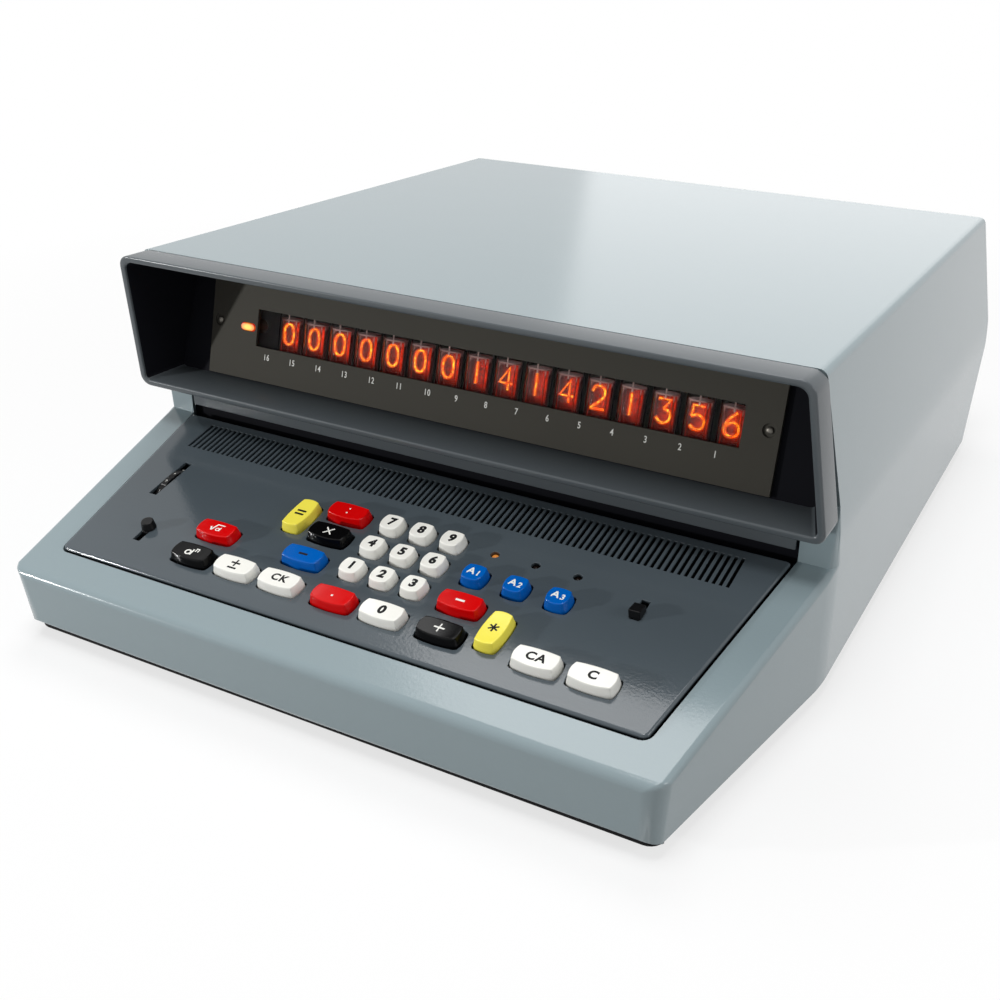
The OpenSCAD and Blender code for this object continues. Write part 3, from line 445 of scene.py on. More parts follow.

# %% [markdown]
# The hood's long corners are bevelled first and its two front rims last, so that the rims follow the rounded corners.
# The side walls are twisted, so each is split along the diagonal that leaves the wall its thickness. The sides and the
# ceiling of the reveal are matt black from a little behind the front, as painted shade deep in the hood.

# %% Hood frame
HALF_HEIGHT = 150
HOOD_LEAN = math.radians(10)
FRONT = Vector((0, -143.0, 103.5))
FRONT_NORMAL = Vector((0, -math.cos(HOOD_LEAN), -math.sin(HOOD_LEAN)))
WALLS_WITHIN, WALL_AREA = 209, 500
SHADE_FROM = 6


def edges_between(bm, first, second):
    """Edges that run from one named loop's corners to another's."""
    ends = [[Vector((sign * x, y, z)) for x, y, z in HOOD_LOOPS[name] for sign in (1, -1)] for name in (first, second)]
    found = []
    for edge in bm.edges:
        for a, b in (edge.verts, reversed(edge.verts)):
            if any((a.co - p).length < 0.01 for p in ends[0]) and any((b.co - p).length < 0.01 for p in ends[1]):
                found.append(edge)
    return found


def ahead(place):
    """How far a place lies in front of the hood's front face."""
    return (place - FRONT).dot(FRONT_NORMAL)


bevel(bm, edges_between(bm, "front_out", "rear_out"), 7, 6)
bevel(bm, [edge for edge in edges_between(bm, "front_in", "reveal") if edge.verts[0].co.z > HALF_HEIGHT], 5, 5)
bevel(bm, [edge for edge in edges_between(bm, "front_in", "reveal") if edge.verts[0].co.z < HALF_HEIGHT], 3, 4)
bmesh.ops.remove_doubles(bm, verts=bm.verts, dist=0.05)
rims = [edge for edge in bm.edges
        if all(abs(ahead(vert.co)) < 0.15 for vert in edge.verts) and edge.calc_face_angle(0) > 0.5]
bevel(bm, rims, 1.1, 3)
for face in bm.faces[:]:
    middle = face.calc_center_median()
    if abs(face.normal.x) > 0.8 and abs(middle.x) < WALLS_WITHIN and face.calc_area() > WALL_AREA:
        reveal = face.normal.x * middle.x < 0
        bmesh.ops.triangulate(bm, faces=[face], quad_method="LONG_EDGE" if reveal else "SHORT_EDGE")
# Faces deep in the reveal's sides and ceiling take the matt black slot: painted shade.
for face in bm.faces:
    middle = face.calc_center_median()
    deep = ahead(middle) < -SHADE_FROM
    side_wall = face.normal.x * middle.x < 0 and face.normal.z < 0.6
    face.material_index = int(deep and (side_wall or face.normal.z < -0.6 and middle.z > HALF_HEIGHT))
hood = piece("hood", bm, slate_paint, stands_for=("hood_frame",), sharp=50)
hood.data.materials.append(matt_black.owner)

# %% [markdown]
# Some solids already have the right shape and only want a broken edge, as every stamped, milled or moulded piece has.
# A CAD mesh is loose triangles, so a copy is merged, its flat faces are dissolved back to single faces, and its sharp
# outer edges are bevelled; inner corners stay as they are. The copy then stands for the solid.

# %% Copies with broken edges
def merged_copy(node):
    bm = bmesh.new()
    bm.from_mesh(nodes[node].data)
    bmesh.ops.transform(bm, matrix=MM.inverted(), verts=bm.verts)
    bmesh.ops.remove_doubles(bm, verts=bm.verts, dist=0.01)
    bmesh.ops.dissolve_limit(bm, angle_limit=math.radians(0.5), verts=bm.verts, edges=bm.edges)
    return bm


def flat_faced(made):
    """Large faces keep their own normals, so that a bevel beside them doesn't shade them."""
    weighting = made.modifiers.new("flat_faces", "WEIGHTED_NORMAL")
    weighting.keep_sharp = True
    weighting.weight = 100
    return made


def sharp_edges(bm, degrees=40):
    return [edge for edge in bm.edges if edge.is_convex and edge.calc_face_angle(0) > math.radians(degrees)]


def softened(node, finish, width, body="housing", segments=2, sharp=20):
    bm = merged_copy(node)
    bevel(bm, sharp_edges(bm), width, segments)
    return flat_faced(piece(node + "_finish", bm, finish, body=body, stands_for=(node,), sharp=sharp))


softened("neck_strip", slate_paint, 0.5)
softened("base_plate", black_steel, 0.8)
softened("rear_panel", slate_plastic, 0.3)
softened("mains_inlet", black_plastic, 0.3)
softened("fuse_holder", black_plastic, 0.4)
softened("display_panel", display_sheet, 0.25)

# %% [markdown]
# The remaining solids are kept as they are and only get their finishes: feet, inner metalwork, boards and switches.

# %% Finishes on the solids that stay
KEPT = {
    "feet": foot_rubber, "case_screws": screw_steel, "bulkhead": matt_black, "tube_board": brown_board,
    "tube_sockets": socket_plastic, "panel_pillars": zinc_steel, "keyboard_board": circuit_board,
    "key_switches": black_plastic, "slide_bodies": black_plastic, "wheel_bracket": zinc_steel, "chassis": zinc_steel,
    "backplane": circuit_board, "logic_cards": circuit_board, "transformer": core_steel,
    "capacitors": can_aluminium,
}


def dress(node, finish):
    slots = nodes[node].data.materials
    slots.clear()
    slots.append(finish.owner)


for node, finish in KEPT.items():
    dress(node, finish)
print("dressed", len(KEPT), "solids")

# %% [markdown]
# The keyboard panel is sprayed from above in a gloss slate enamel with some orange peel. Inside the openings and round
# the outer edge the colour turns black as painted shade. Vector Math gives each point's depth under the face, and the
# colour turns black below it. Two finishes would need a clean line between them in every opening, and one that knows
# its depth doesn't.

# %% Enamel of the keyboard panel
panel_paint = Finish("panel_paint")
cloud = panel_paint.noise(12.0, 4.0)
peel = panel_paint.noise(560.0, 2.0)
slope = math.radians(PANEL_SLOPE)
face_normal = Vector((0, -math.sin(slope), math.cos(slope)))
rise = panel_paint.node("ShaderNodeVectorMath", {"operation": "DOT_PRODUCT"}, {0: panel_paint.place(), 1: face_normal},
                        out="Value")
# Below the face, inside the openings and round the outer edge, the slate is painted black as shade.
painted_shade_under_face = 1 - panel_paint.ramp(rise - PANEL.translation.dot(face_normal), -0.0022, -0.0009)
slate = panel_paint.mix(cloud, srgb(73, 82, 88), srgb(79, 88, 94))
panel_paint.use(base_color=panel_paint.mix(painted_shade_under_face, slate, srgb(7, 8, 9)), roughness=0.1 + cloud * 0.05,
                specular_ior_level=0.42, normal=panel_paint.bump(peel, 0.00009))
print("panel enamel made")

# %% [markdown]
# The panel is a thick moulding with a soft outer edge, so its outer rim gets a wide bevel and the openings a fine one.
# The top face is cut up by its openings, and smooth shading would bend its normals beside each of them. Gloss shows
# that at once, so the corners on the top face take the face's own normal.

# %% Keyboard panel
PANEL_END = 140.485
PANEL_HALF, PANEL_SPLAY = 179.12, 0.14496
END_BAND, SIDE_BAND = 2.2, 2.6
TOP = -0.1
PANEL_SHARP = 24
bm = merged_copy("keyboard_panel")
into_panel = PANEL.inverted() @ MM


def on_outer_rim(edge):
    """True for the top edge that runs round the outside of the panel."""
    for vert in edge.verts:
        x, v, h = into_panel @ vert.co
        side = PANEL_HALF + v * PANEL_SPLAY - SIDE_BAND
        if h < TOP or not (v < END_BAND or v > PANEL_END - END_BAND or abs(x) > side):
            return False
    return True


def level_face(mesh, normal, reach):
    """Corners on the face that looks along the normal take it exactly, so that the lamps mirror in it unbent."""
    level = {vert for face in mesh.polygons if face.normal.dot(normal) > 0.999 for vert in face.vertices}
    exact = [(0, 0, 0)] * len(mesh.loops)
    for face in mesh.polygons:
        if face.normal.dot(normal) > math.cos(math.radians(reach)):
            for corner in face.loop_indices:
                if mesh.loops[corner].vertex_index in level:
                    exact[corner] = normal
    mesh.normals_split_custom_set(exact)


rim = [edge for edge in sharp_edges(bm) if on_outer_rim(edge)]
bevel(bm, rim, 1.6, 4)
fine = [edge for edge in sharp_edges(bm, 60) if all((into_panel @ vert.co).z > TOP for vert in edge.verts)]
bevel(bm, fine, 0.18, 1)
panel = piece("keyboard_panel_finish", bm, panel_paint, stands_for=("keyboard_panel",),
              sharp=PANEL_SHARP)
level_face(panel.data, face_normal, PANEL_SHARP)
print("rim edges:", len(rim), "opening edges:", len(fine))

# %% [markdown]
# A key is a hollow moulding with bowed sides, a slight draft and a dished top. It starts as a cube that is cut into a
# grid, and each point is then moved by its place in the grid: outwards for the bow, inwards for the draft and down
# for the dish. A bevel rounds the edges. The stem that goes down into the switch is an extruded square.

# %% Shape of a key
KEY_RISE = 5.4
KEY_SKIRT = 6.0
BOW = 1.1
DRAFT = 1.0
DISH = 0.5
STEM = Matrix.Translation((0, 0, -11)) @ Matrix.Diagonal((5, 5, 10.4, 1))


def key_top(a, b, w, l):
    """Height of a key's top at a and b, which run from -1 to 1 across it."""
    along = b if l > w else a
    return KEY_RISE - DISH * (1 - along * along)


def key_form(w, l):
    bm = bmesh.new()
    bmesh.ops.create_cube(bm, size=2)
    bmesh.ops.subdivide_edges(bm, edges=bm.edges, cuts=9, use_grid_fill=True)
    for vert in bm.verts:
        a, b, c = vert.co
        top = key_top(a, b, w, l)
        z = -KEY_SKIRT + (c + 1) / 2 * (top + KEY_SKIRT)
        inwards = DRAFT * max(0.0, z) / KEY_RISE
        vert.co = (a * (w / 2 - BOW * b * b - inwards), b * (l / 2 - BOW * a * a - inwards), z)
    bevel(bm, sharp_edges(bm, 40), 0.5, 3)
    stem = bmesh.ops.create_cube(bm, size=1, matrix=STEM)
    bevel(bm, {edge for vert in stem["verts"] for edge in vert.link_edges}, 0.3, 1)
    return bm


print("key shape ready")

# %% [markdown]
# The keys come in three sizes and five colours. A table holds each key's name, its place across and up the panel, its
# width and length, and its colour. The digits and the memory keys stand at even pitches, so two loops add them. S and L
# are the short and the long side of a key.

# %% Key caps
S, L = 14.0, 25.5
PITCH_X, PITCH_V = 19.2, 19.8
KEYS = [
    ("root", -98.9, 44, L, S, "red"), ("power", -98.9, 22.5, L, S, "black"), ("sign", -69.1, 22.5, L, S, "white"),
    ("check", -39.3, 22.5, L, S, "white"), ("subtract", -39.3, 44, L, S, "blue"),
    ("multiply", -37.7, 65.8, L, S, "black"), ("divide", -37.7, 85, L, S, "red"),
    ("equals", -62.7, 73.72, S, L, "yellow"), ("point", -5.1, 22.5, L, S, "red"), ("0", 25.1, 22.5, L, S, "white"),
    ("minus", 58.4, 44, L, S, "red"), ("plus", 59, 22.5, L, S, "black"), ("total", 83.8, 32.9, S, L, "yellow"),
    ("clear_all", 112.3, 22.5, L, S, "white"), ("clear", 142.1, 22.5, L, S, "white"),
]
KEYS += [(str(n + 1), -9.2 + PITCH_X * (n % 3), 46 + PITCH_V * (n // 3), S, S, "white") for n in range(9)]
KEYS += [(f"a{n + 1}", 54 + 24.3 * n, 65.8, S, S, "blue") for n in range(3)]
for name, x, v, w, l, colour in KEYS:
    node = "key_" + name
    flat_faced(piece(node + "_cap", key_form(w, l), KEY_FINISHES[colour],
                     face=PANEL @ Matrix.Translation((x, v, 0)), body=node + "_body", stands_for=(node,), sharp=60))

# %% [markdown]
# The legends are moulded through the caps in a second plastic. A text makes the letters and is turned into a flat mesh
# at once, because a text can't follow a dished cap. Signs that no letter gives, such as crossed bars, are made of flat
# rectangles, and several flat meshes can be joined into one sign.

# %% Letters and strokes
def curve_mesh(curve):
    """Mesh of a text or a wire; the curve itself is cleared away."""
    holder = bpy.data.objects.new(curve.name, curve)
    bpy.context.scene.collection.objects.link(holder)
    bpy.context.view_layer.update()
    mesh = bpy.data.meshes.new_from_object(holder.evaluated_get(bpy.context.evaluated_depsgraph_get()))
    bm = bmesh.new()
    bm.from_mesh(mesh)
    bpy.data.objects.remove(holder)
    bpy.data.curves.remove(curve)
    bpy.data.meshes.remove(mesh)
    return bm


def letters(words, size, bold=0.052):
    """Flat mesh of some text, centred on the origin, with capitals about 0.7 of the size."""
    curve = bpy.data.curves.new("letters", "FONT")
    curve.body = words
    curve.size = size
    curve.offset = bold * size
    curve.space_character = 1.15
    curve.align_x = "CENTER"
    curve.align_y = "CENTER"
    curve.resolution_u = 4
    bm = curve_mesh(curve)
    bmesh.ops.remove_doubles(bm, verts=bm.verts, dist=0.001)
    return bm


def at(x, y, z=0):
    return Matrix.Translation((x, y, z))


def joined(*parts):
    """One mesh of several, each moved by its own matrix."""
    whole = bmesh.new()
    for bm, matrix in parts:
        bmesh.ops.transform(bm, matrix=matrix, verts=bm.verts)
        loose = bpy.data.meshes.new("loose")
        bm.to_mesh(loose)
        bm.free()
        whole.from_mesh(loose)
        bpy.data.meshes.remove(loose)
    return whole


def thicken(bm, thickness):
    """Gives a flat sign its thickness, downwards from its face."""
    bm.normal_update()
    for face in bm.faces:
        if face.normal.z < 0:
            face.normal_flip()
    bmesh.ops.solidify(bm, geom=bm.faces[:], thickness=thickness)


def bars(*sizes):
    """Straight strokes: x, y, width, length and turn of each."""
    bm = bmesh.new()
    for x, y, w, l, turn in sizes:
        bmesh.ops.create_grid(bm, x_segments=1, y_segments=1, size=0.5, matrix=Matrix.Translation((x, y, 0))
                              @ Matrix.Rotation(math.radians(turn), 4, "Z") @ Matrix.Diagonal((w, l, 1, 1)))
    return bm


def round_a(size):
    """The plain letter a of engraved lettering: a ring with a stem."""
    stem = bars((size * 0.27, 0, size * 0.12, size * 0.56, 0))
    return joined((letters("o", size, 0.015), at(0, 0)), (stem, at(0, 0)))


print("lettering tools ready")

# %% [markdown]
# A table gives each key its sign. Every entry is a small function, so that a mesh is only made when its key needs it.
# The digits and the memory keys follow one pattern each, so loops add them.

# %% Signs of the keys
STROKE = 0.95
THIN = 0.75
LEGENDS = {
    "root": lambda: joined((bars((-3.3, -0.7, STROKE, 2.6, 30), (-1.7, 0.3, STROKE, 5.6, -18),
                                 (1.4, 2.9, 5.0, 0.7, 0)), at(0, 0)), (round_a(5.4), at(1.1, -0.4))),
    "power": lambda: joined((round_a(8.2), at(-1.6, -0.7)), (letters("n", 5.6, 0.02), at(3.0, 1.9))),
    "sign": lambda: bars((0, 1.1, 5.6, 1.2, 0), (0, 1.1, STROKE, 5.2, 0), (0, -2.9, 5.6, 1.2, 0)),
    "check": lambda: letters("CK", 6.8, 0.036),
    "subtract": lambda: bars((0, 0, 5.6, 1.5, 0)),
    "multiply": lambda: bars((0, 0, 7.0, THIN, 45), (0, 0, 7.0, THIN, -45)),
    "divide": lambda: bars((0, 1.8, 0.9, 0.9, 0), (0, -1.8, 0.9, 0.9, 0)),
    "equals": lambda: bars((0, 1.4, 5.8, 1.4, 0), (0, -1.4, 5.8, 1.4, 0)),
    "point": lambda: bars((0, -0.6, 1.2, 1.2, 0)),
    "minus": lambda: bars((0, 0, 5.2, 1.3, 0)),
    "plus": lambda: bars((0, 0, 6.0, 1.0, 0), (0, 0, THIN, 5.8, 0)),
    "total": lambda: bars(*((0, 0, 5.8, 1.0, turn) for turn in (90, 30, -30))),
    "clear_all": lambda: letters("CA", 7.2, 0.036),
    "clear": lambda: letters("C", 7.2, 0.04),
}
for n in range(10):
    LEGENDS[str(n)] = lambda n=n: letters(str(n), 7.8)
for n in (1, 2, 3):
    LEGENDS[f"a{n}"] = lambda n=n: joined((letters("A", 6.4, 0.024), at(-1.7, 0.3)),
                                          (letters(str(n), 5.2, 0.024), at(2.6, -0.5)))
print("signs:", len(LEGENDS))

# %% [markdown]
# Each flat sign is cut into narrow strips, so that it can follow the dish of its key. It is then lifted onto the cap's
# top and given a little thickness. The pale caps and one blue one have dark signs, and the others white ones.

# %% Legends on the caps
PALE = {"white", "yellow"}
STRIP = 0.9
LEGEND_LIFT, LEGEND_DEPTH = 0.05, 0.2

for name, x, v, w, l, colour in KEYS:
    bm = LEGENDS[name]()
    for cut in range(-6, 7):
        for axis in ((1, 0, 0), (0, 1, 0)):
            bmesh.ops.bisect_plane(bm, geom=bm.verts[:] + bm.edges[:] + bm.faces[:],
                                   plane_co=Vector(axis) * cut * STRIP, plane_no=axis)
    for vert in bm.verts:
        vert.co.z = key_top(vert.co.x / (w / 2), vert.co.y / (l / 2), w, l) + LEGEND_LIFT
    thicken(bm, LEGEND_DEPTH)
    ink = dark_ink if colour in PALE or name == "subtract" else white_ink
    piece("legend_" + name, bm, ink,
          face=PANEL @ Matrix.Translation((x, v, 0)), body=f"key_{name}_body", sharp=30)

# %% [markdown]
# Two slide levers and a decimal wheel share the panel with the keys. Their solids have the right shape, so copies
# with broken edges stand for them. The wheel's rim carries white numbers, each laid flat on the rim at its own angle.

# %% Levers and decimal wheel
softened("slide_left", black_plastic, 0.5, "slide_left_body", 3, 35)
softened("slide_right", black_plastic, 0.5, "slide_right_body", 3, 35)
softened("decimal_wheel", black_plastic, 0.15, "decimal_wheel_body", 1)

WHEEL_R = 24.0
WHEEL_STEP = 18
WHEEL = PANEL @ Matrix.Translation((-162.38, 77, -23))
numbers = []
for n in range(20):
    bm = letters(str(n % 10), 2.2, 0.0)
    thicken(bm, 0.12)
    turn = math.radians(WHEEL_STEP * (n + 0.5))
    numbers.append((bm, Matrix.Rotation(turn, 4, "X") @ at(0, 0, WHEEL_R + 0.04)))
piece("wheel_numbers", joined(*numbers), white_ink, face=WHEEL, body="decimal_wheel_body")

# %% [markdown]
# A number tube is blown glass: a straight wall, a domed shoulder and the sealed tip where it was pumped out. Its half
# profile is drawn outside and inside, so the wall has thickness, and spun round the axis. Clear glass is a shader with
# full transmission; a faint drift of tint and a thin film of dust keep it from looking like nothing at all.

# %% Glass of the tubes
TUBE_PITCH = 19.24
TUBE_X = [6 + (n - 7.5) * TUBE_PITCH for n in range(16)]
TUBE_DEPTH = 23.5
tube_glass = Finish("tube_glass")
film = tube_glass.noise(60.0, 3.0)
tube_glass.use(base_color=tube_glass.mix(film, srgb(252, 240, 238), srgb(255, 250, 248)), roughness=0.01 + film * 0.03)
tube_glass.use(transmission_weight=1.0, ior=1.22)


def spun(points, steps=32):
    """A turned shape, from a half profile of points of radius and height."""
    bm = bmesh.new()
    chain = [bm.verts.new((r, 0, z)) for r, z in points]
    for start, end in zip(chain, chain[1:]):
        bm.edges.new((start, end))
    bmesh.ops.spin(bm, geom=bm.verts[:] + bm.edges[:], cent=(0, 0, 0), axis=(0, 0, 1), angle=math.tau, steps=steps,
                   use_merge=True)
    bmesh.ops.remove_doubles(bm, verts=bm.verts, dist=0.0005)
    bmesh.ops.recalc_face_normals(bm, faces=bm.faces)
    return bm


def dome(r, z, steps=6):
    angles = [n * math.pi / 2 / steps for n in range(steps)]
    return [(r * math.cos(angle), z + r * math.sin(angle)) for angle in angles]


ENVELOPE = ([(0, 8), (7.2, 8), (8, 8.8)] + dome(8, 39) + [(1.6, 46.9), (1.4, 48.6), (0.8, 49.4), (0, 49.6)])
HOLLOW = ([(0, 46.2)] + dome(7.2, 39)[::-1] + [(7.2, 9.4), (6.8, 8.9), (0, 8.9)])


def at_tubes(make):
    """One mesh with a copy of a shape on every tube's axis."""
    return joined(*((make(), at(x, TUBE_DEPTH)) for x in TUBE_X))


def envelope():
    outer = spun(ENVELOPE)
    inner = spun(HOLLOW)
    bmesh.ops.reverse_faces(inner, faces=inner.faces)
    return joined((outer, at(0, 0)), (inner, at(0, 0)))


piece("tube_glass", at_tubes(envelope), tube_glass, DISPLAY, stands_for=("tube_envelopes",))

# %% [markdown]
# Inside each tube a bent wire numeral glows while the others stay dark, and the metal cup behind it catches the light.
# The lit wire is an emission that runs from yellow to orange, a half-clear red one is the glow of the gas round it, and
# the cup has a red emission that fades away from the tube's axis. Small lamps inside the tubes would light the cups
# too, but sixteen of them behind glass would make a noisy picture.

# %% Finishes of the glow
lit_wire = Finish("lit_wire")
sparkle = lit_wire.noise(480.0, 3.0)
lit_wire.use(base_color=lit_wire.mix(sparkle, srgb(255, 120, 20), srgb(255, 170, 60)), roughness=0.6)
lit_wire.use(emission_color=lit_wire.mix(lit_wire.ramp(sparkle, 0.4, 0.6), srgb(255, 88, 2), srgb(255, 206, 48)),
             emission_strength=1.8)
dark_wire = coating("dark_wire", srgb(70, 40, 34), 0.4, 2500.0, 0.00001, 0.2, 0.8)

neon_glow = Finish("neon_glow")
flicker = neon_glow.noise(500.0, 2.0)
neon_glow.use(base_color=neon_glow.mix(flicker, srgb(60, 8, 2), srgb(90, 14, 2)), roughness=0.9, specular_ior_level=0.0,
              emission_color=neon_glow.mix(flicker, srgb(226, 34, 3), srgb(255, 96, 8)), emission_strength=1.1,
              alpha=0.05 + neon_glow.ramp(flicker, 0.35, 0.65) * 0.75)

GLOW_HEIGHT = 0.1315
CUP_TOP = 0.1395
cup_metal = Finish("cup_metal")
across = cup_metal.along("X") - TUBE_X[0] / 1000
height = cup_metal.along("Z")
cell = cup_metal.node("ShaderNodeMath", {"operation": "PINGPONG"}, {0: across, 1: TUBE_PITCH / 2000})
near_axis = 1 - cup_metal.ramp(cell, 0.0005, 0.0062)
mid_height = 1 - cup_metal.ramp(abs(height - GLOW_HEIGHT), 0.004, 0.0105)
haze = cup_metal.noise(420.0, 3.0)
stack = cup_metal.mix(haze, srgb(26, 15, 15), srgb(52, 32, 32))
# Above CUP_TOP the cup is pale: partly the pale top of the electrode stack, partly a painted reflection in the glass.
cup_metal.use(base_color=cup_metal.mix(cup_metal.ramp(height, CUP_TOP, CUP_TOP + 0.002), stack, srgb(168, 140, 134)),
              roughness=0.4, metallic=0.5)
glimmer = near_axis * mid_height * (0.3 + cup_metal.ramp(haze, 0.3, 0.7))
cup_metal.use(emission_color=cup_metal.mix(glimmer, srgb(34, 6, 6), srgb(246, 48, 8)), emission_strength=0.85)
dress("tube_electrodes", cup_metal)
print("glow finishes made and cups dressed")

# %% [markdown]
# The numerals are curves with a round section, turned into meshes. A table draws each figure in a box one unit wide and
# high, as rows of points with soft bends or straight runs between them. The same figures make the lit wires, the wider
# glow round them and the thin dark wires before and behind.

# %% Wire numerals
NUMERALS = {
    "0": [("AUTO", True, [(0, 0.5), (-0.44, 0), (0, -0.5), (0.44, 0)])],
    "1": [("VECTOR", False, [(0, 0.5), (0, -0.5)])],
    "2": [("AUTO", False, [(-0.46, 0.24), (-0.3, 0.44), (0.02, 0.5), (0.38, 0.38), (0.42, 0.1), (0.1, -0.18),
                           (-0.46, -0.49)]), ("VECTOR", False, [(-0.48, -0.5), (0.5, -0.5)])],
    "3": [("VECTOR", False, [(-0.42, 0.5), (0.42, 0.5), (0.0, 0.1)]),
          ("AUTO", False, [(0.0, 0.1), (0.36, 0.0), (0.5, -0.22), (0.28, -0.46), (-0.1, -0.5), (-0.48, -0.3)])],
    "4": [("VECTOR", False, [(0.2, -0.5), (0.2, 0.5), (-0.5, -0.2), (0.5, -0.2)])],
    "5": [("VECTOR", False, [(0.4, 0.5), (-0.34, 0.5), (-0.42, 0.02)]),
          ("AUTO", False, [(-0.42, 0.02), (0.05, 0.12), (0.44, -0.06), (0.42, -0.36), (0.02, -0.5), (-0.46, -0.38)])],
    "6": [("AUTO", False, [(0.24, 0.5), (-0.22, 0.2), (-0.48, -0.16), (-0.3, -0.44), (0.02, -0.5), (0.38, -0.42),
                           (0.48, -0.18), (0.3, 0.04), (0, 0.08), (-0.4, -0.1)])],
    "8": [("AUTO", True, [(0, 0.5), (-0.36, 0.28), (0, 0.04), (0.46, -0.24), (0, -0.5), (-0.46, -0.24), (0, 0.04),
                          (0.36, 0.28)])],
}
NUMERAL_W, NUMERAL_H = 8.2, 12.6


def numeral(figure, wire):
    """Bent wire in the X and Z plane, centred on the origin."""
    curve = bpy.data.curves.new("wire", "CURVE")
    curve.dimensions = "3D"
    curve.bevel_depth = wire
    curve.bevel_resolution = 1
    curve.resolution_u = 5
    curve.use_fill_caps = True
    for handles, closed, points in NUMERALS[figure]:
        spline = curve.splines.new("BEZIER")
        spline.bezier_points.add(len(points) - 1)
        spline.use_cyclic_u = closed
        for bend, (x, z) in zip(spline.bezier_points, points):
            bend.co = (x * NUMERAL_W, 0, z * NUMERAL_H)
            bend.handle_left_type = bend.handle_right_type = handles
    return curve_mesh(curve)


SHOWN = "0000000141421356"
MIDDLE = 29.2
FRONT_WIRE = -2.6


def wires(figures, depth, thick):
    return joined(*((numeral(figure, thick), at(x, TUBE_DEPTH + depth, MIDDLE)) for figure, x in zip(figures, TUBE_X)))


piece("lit_numerals", wires(SHOWN, FRONT_WIRE, 0.6), lit_wire, DISPLAY)
piece("neon_glow", wires(SHOWN, FRONT_WIRE, 1.4), neon_glow, DISPLAY)
piece("dark_numerals_front", wires("4" * 7 + "0" * 9, FRONT_WIRE - 1.6, 0.12), dark_wire, DISPLAY)
piece("dark_numerals_rear", wires("8" * 16, FRONT_WIRE + 1.6, 0.14), dark_wire, DISPLAY)

# %% [markdown]
# A fine wire mesh stands before the numerals of each tube, and a pale insulating post holds the top of the stack. The
# mesh is a grid, bowed like the glass, whose edges the wireframe operator turns into wires.

# %% Anode meshes and posts
MESH_FRONT = -5.2
MESH_W, MESH_H, MESH_BOW = 9.6, 16.5, 1.2


def anode_mesh():
    """Woven wire in front of the numerals, bowed to follow the glass."""
    bm = bmesh.new()
    bmesh.ops.create_grid(bm, x_segments=9, y_segments=15, size=0.5,
                          matrix=Matrix.Rotation(math.radians(90), 4, "X") @ Matrix.Diagonal((MESH_W, MESH_H, 1, 1)))
    for vert in bm.verts:
        vert.co.y = MESH_FRONT + MESH_BOW * (vert.co.x / (MESH_W / 2)) ** 2
        vert.co.z += MIDDLE
    bmesh.ops.wireframe(bm, faces=bm.faces, thickness=0.14, use_replace=True, use_boundary=True,
                        use_even_offset=True)
    bmesh.ops.recalc_face_normals(bm, faces=bm.faces)
    return bm


def stack_post():
    """Pale insulator that holds the top of the stack."""
    bm = spun([(0, 36.2), (0.45, 36.2), (0.45, 44.5), (0, 44.5)], 10)
    bmesh.ops.translate(bm, vec=(0.9, MESH_FRONT + 0.2, 0), verts=bm.verts)
    return bm


insulator = coating("insulator", srgb(216, 196, 190), 0.5, 1500.0, 0.00001, 0.06)
piece("anode_meshes", at_tubes(anode_mesh), dark_wire, DISPLAY)
piece("stack_posts", at_tubes(stack_post), insulator, DISPLAY)

# %% [markdown]
# The window is a clear sheet behind the display panel, with a little dust in its gloss. The position numbers under the
# tubes are printed on the panel in thin white figures, so they are texts with hardly any thickness.

# %% Window and position numbers
clear_window = Finish("clear_window")
dust = clear_window.noise(90.0, 4.0)
clear_window.use(base_color=clear_window.mix(dust, srgb(250, 250, 250), srgb(255, 255, 255)), roughness=dust * 0.03)
clear_window.use(transmission_weight=1.0, ior=1.14)
softened("window_glass", clear_window, 0.2)

NUMBER_PITCH = 19.25
UPRIGHT = Matrix.Rotation(math.radians(90), 4, "X") @ Matrix.Diagonal((0.8, 1, 1, 1))
printed = []
for n in range(16):
    bm = letters(str(n + 1), 5.1, 0.014)
    thicken(bm, 0.06)
    printed.append((bm, at(150.4 - NUMBER_PITCH * n, -0.03, 15.5) @ UPRIGHT))
piece("position_numbers", joined(*printed), white_ink, DISPLAY)

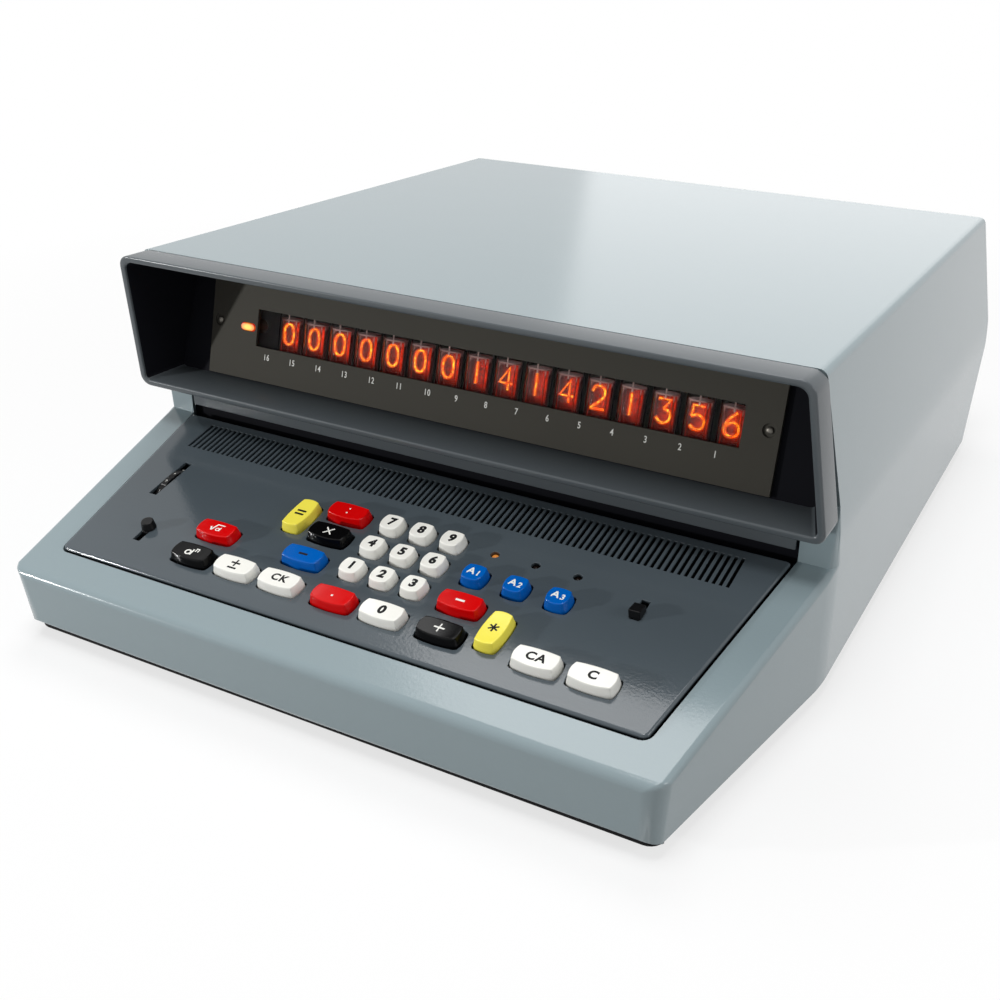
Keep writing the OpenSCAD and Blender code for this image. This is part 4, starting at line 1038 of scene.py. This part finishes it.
# %% [markdown]
# The oval pilot lamp and the first of the three small lamps are lit. A lit lens is bright in the middle and deeper at
# the edge, so its finish measures how far each point lies from the middle and mixes two colours by that.

# %% Pilot lamp and small lamps
def glowing(name, core, edge, centre, radii, behind, strength):
    """Lit plastic lens: bright in the middle, deeper at the edge and black from a depth behind its face."""
    finish = Finish(name)
    black = srgb(6, 3, 2)
    scale = [1 / r for r in radii]
    shifted = finish.node("ShaderNodeVectorMath", {"operation": "SUBTRACT"}, {0: finish.place(), 1: centre})
    scaled = finish.node("ShaderNodeVectorMath", {"operation": "MULTIPLY"}, {0: shifted, 1: scale})
    away = finish.node("ShaderNodeVectorMath", {"operation": "LENGTH"}, {0: scaled}, out="Value")
    depth = finish.along("Y")
    lens = finish.mix(finish.ramp(away, 0.35, 1.0), core, edge)
    shown = finish.mix(finish.ramp(depth, behind, behind + 0.0008), lens, black)
    finish.use(base_color=finish.mix(0.85, shown, black), emission_color=shown, roughness=0.25,
               emission_strength=strength, specular_ior_level=0.1)
    return finish


pilot_at = DISPLAY @ Vector((-154.02, 0, 32.05))
amber_lens = glowing("amber_lens", srgb(255, 214, 60), srgb(206, 30, 0), pilot_at, (0.0056, 0.02, 0.0026),
                     pilot_at.y + 0.0012, 1.0)
softened("pilot_lamp", amber_lens, 0.5, "housing", 3, 35)

lamp_at = PANEL @ Vector((54, 87.3, -3))
lamp_glass = glowing("lamp_glass", srgb(255, 160, 70), srgb(16, 8, 6), lamp_at, (0.005, 0.005, 0.005),
                     lamp_at.y + 0.01, 0.6)
dress("indicator_lamps", lamp_glass)

# %% [markdown]
# The display panel is held by two domed screws in dark counterbores. Each is a turned piece, so its half profile is
# drawn once and spun.

# %% Display screws
DOME_SCREW = [(0, -0.4), (0.7, -0.34), (1.4, -0.1), (1.9, 0.3), (2.0, 0.9), (1.5, 0.9), (1.5, 10.4), (0, 10.4)]


def display_screw(x):
    return spun(DOME_SCREW), at(x, 0, 33.25) @ Matrix.Rotation(math.radians(-90), 4, "X")


piece("display_screws_finish", joined(display_screw(-176), display_screw(176)), dull_nickel, DISPLAY,
      stands_for=("display_screws",))
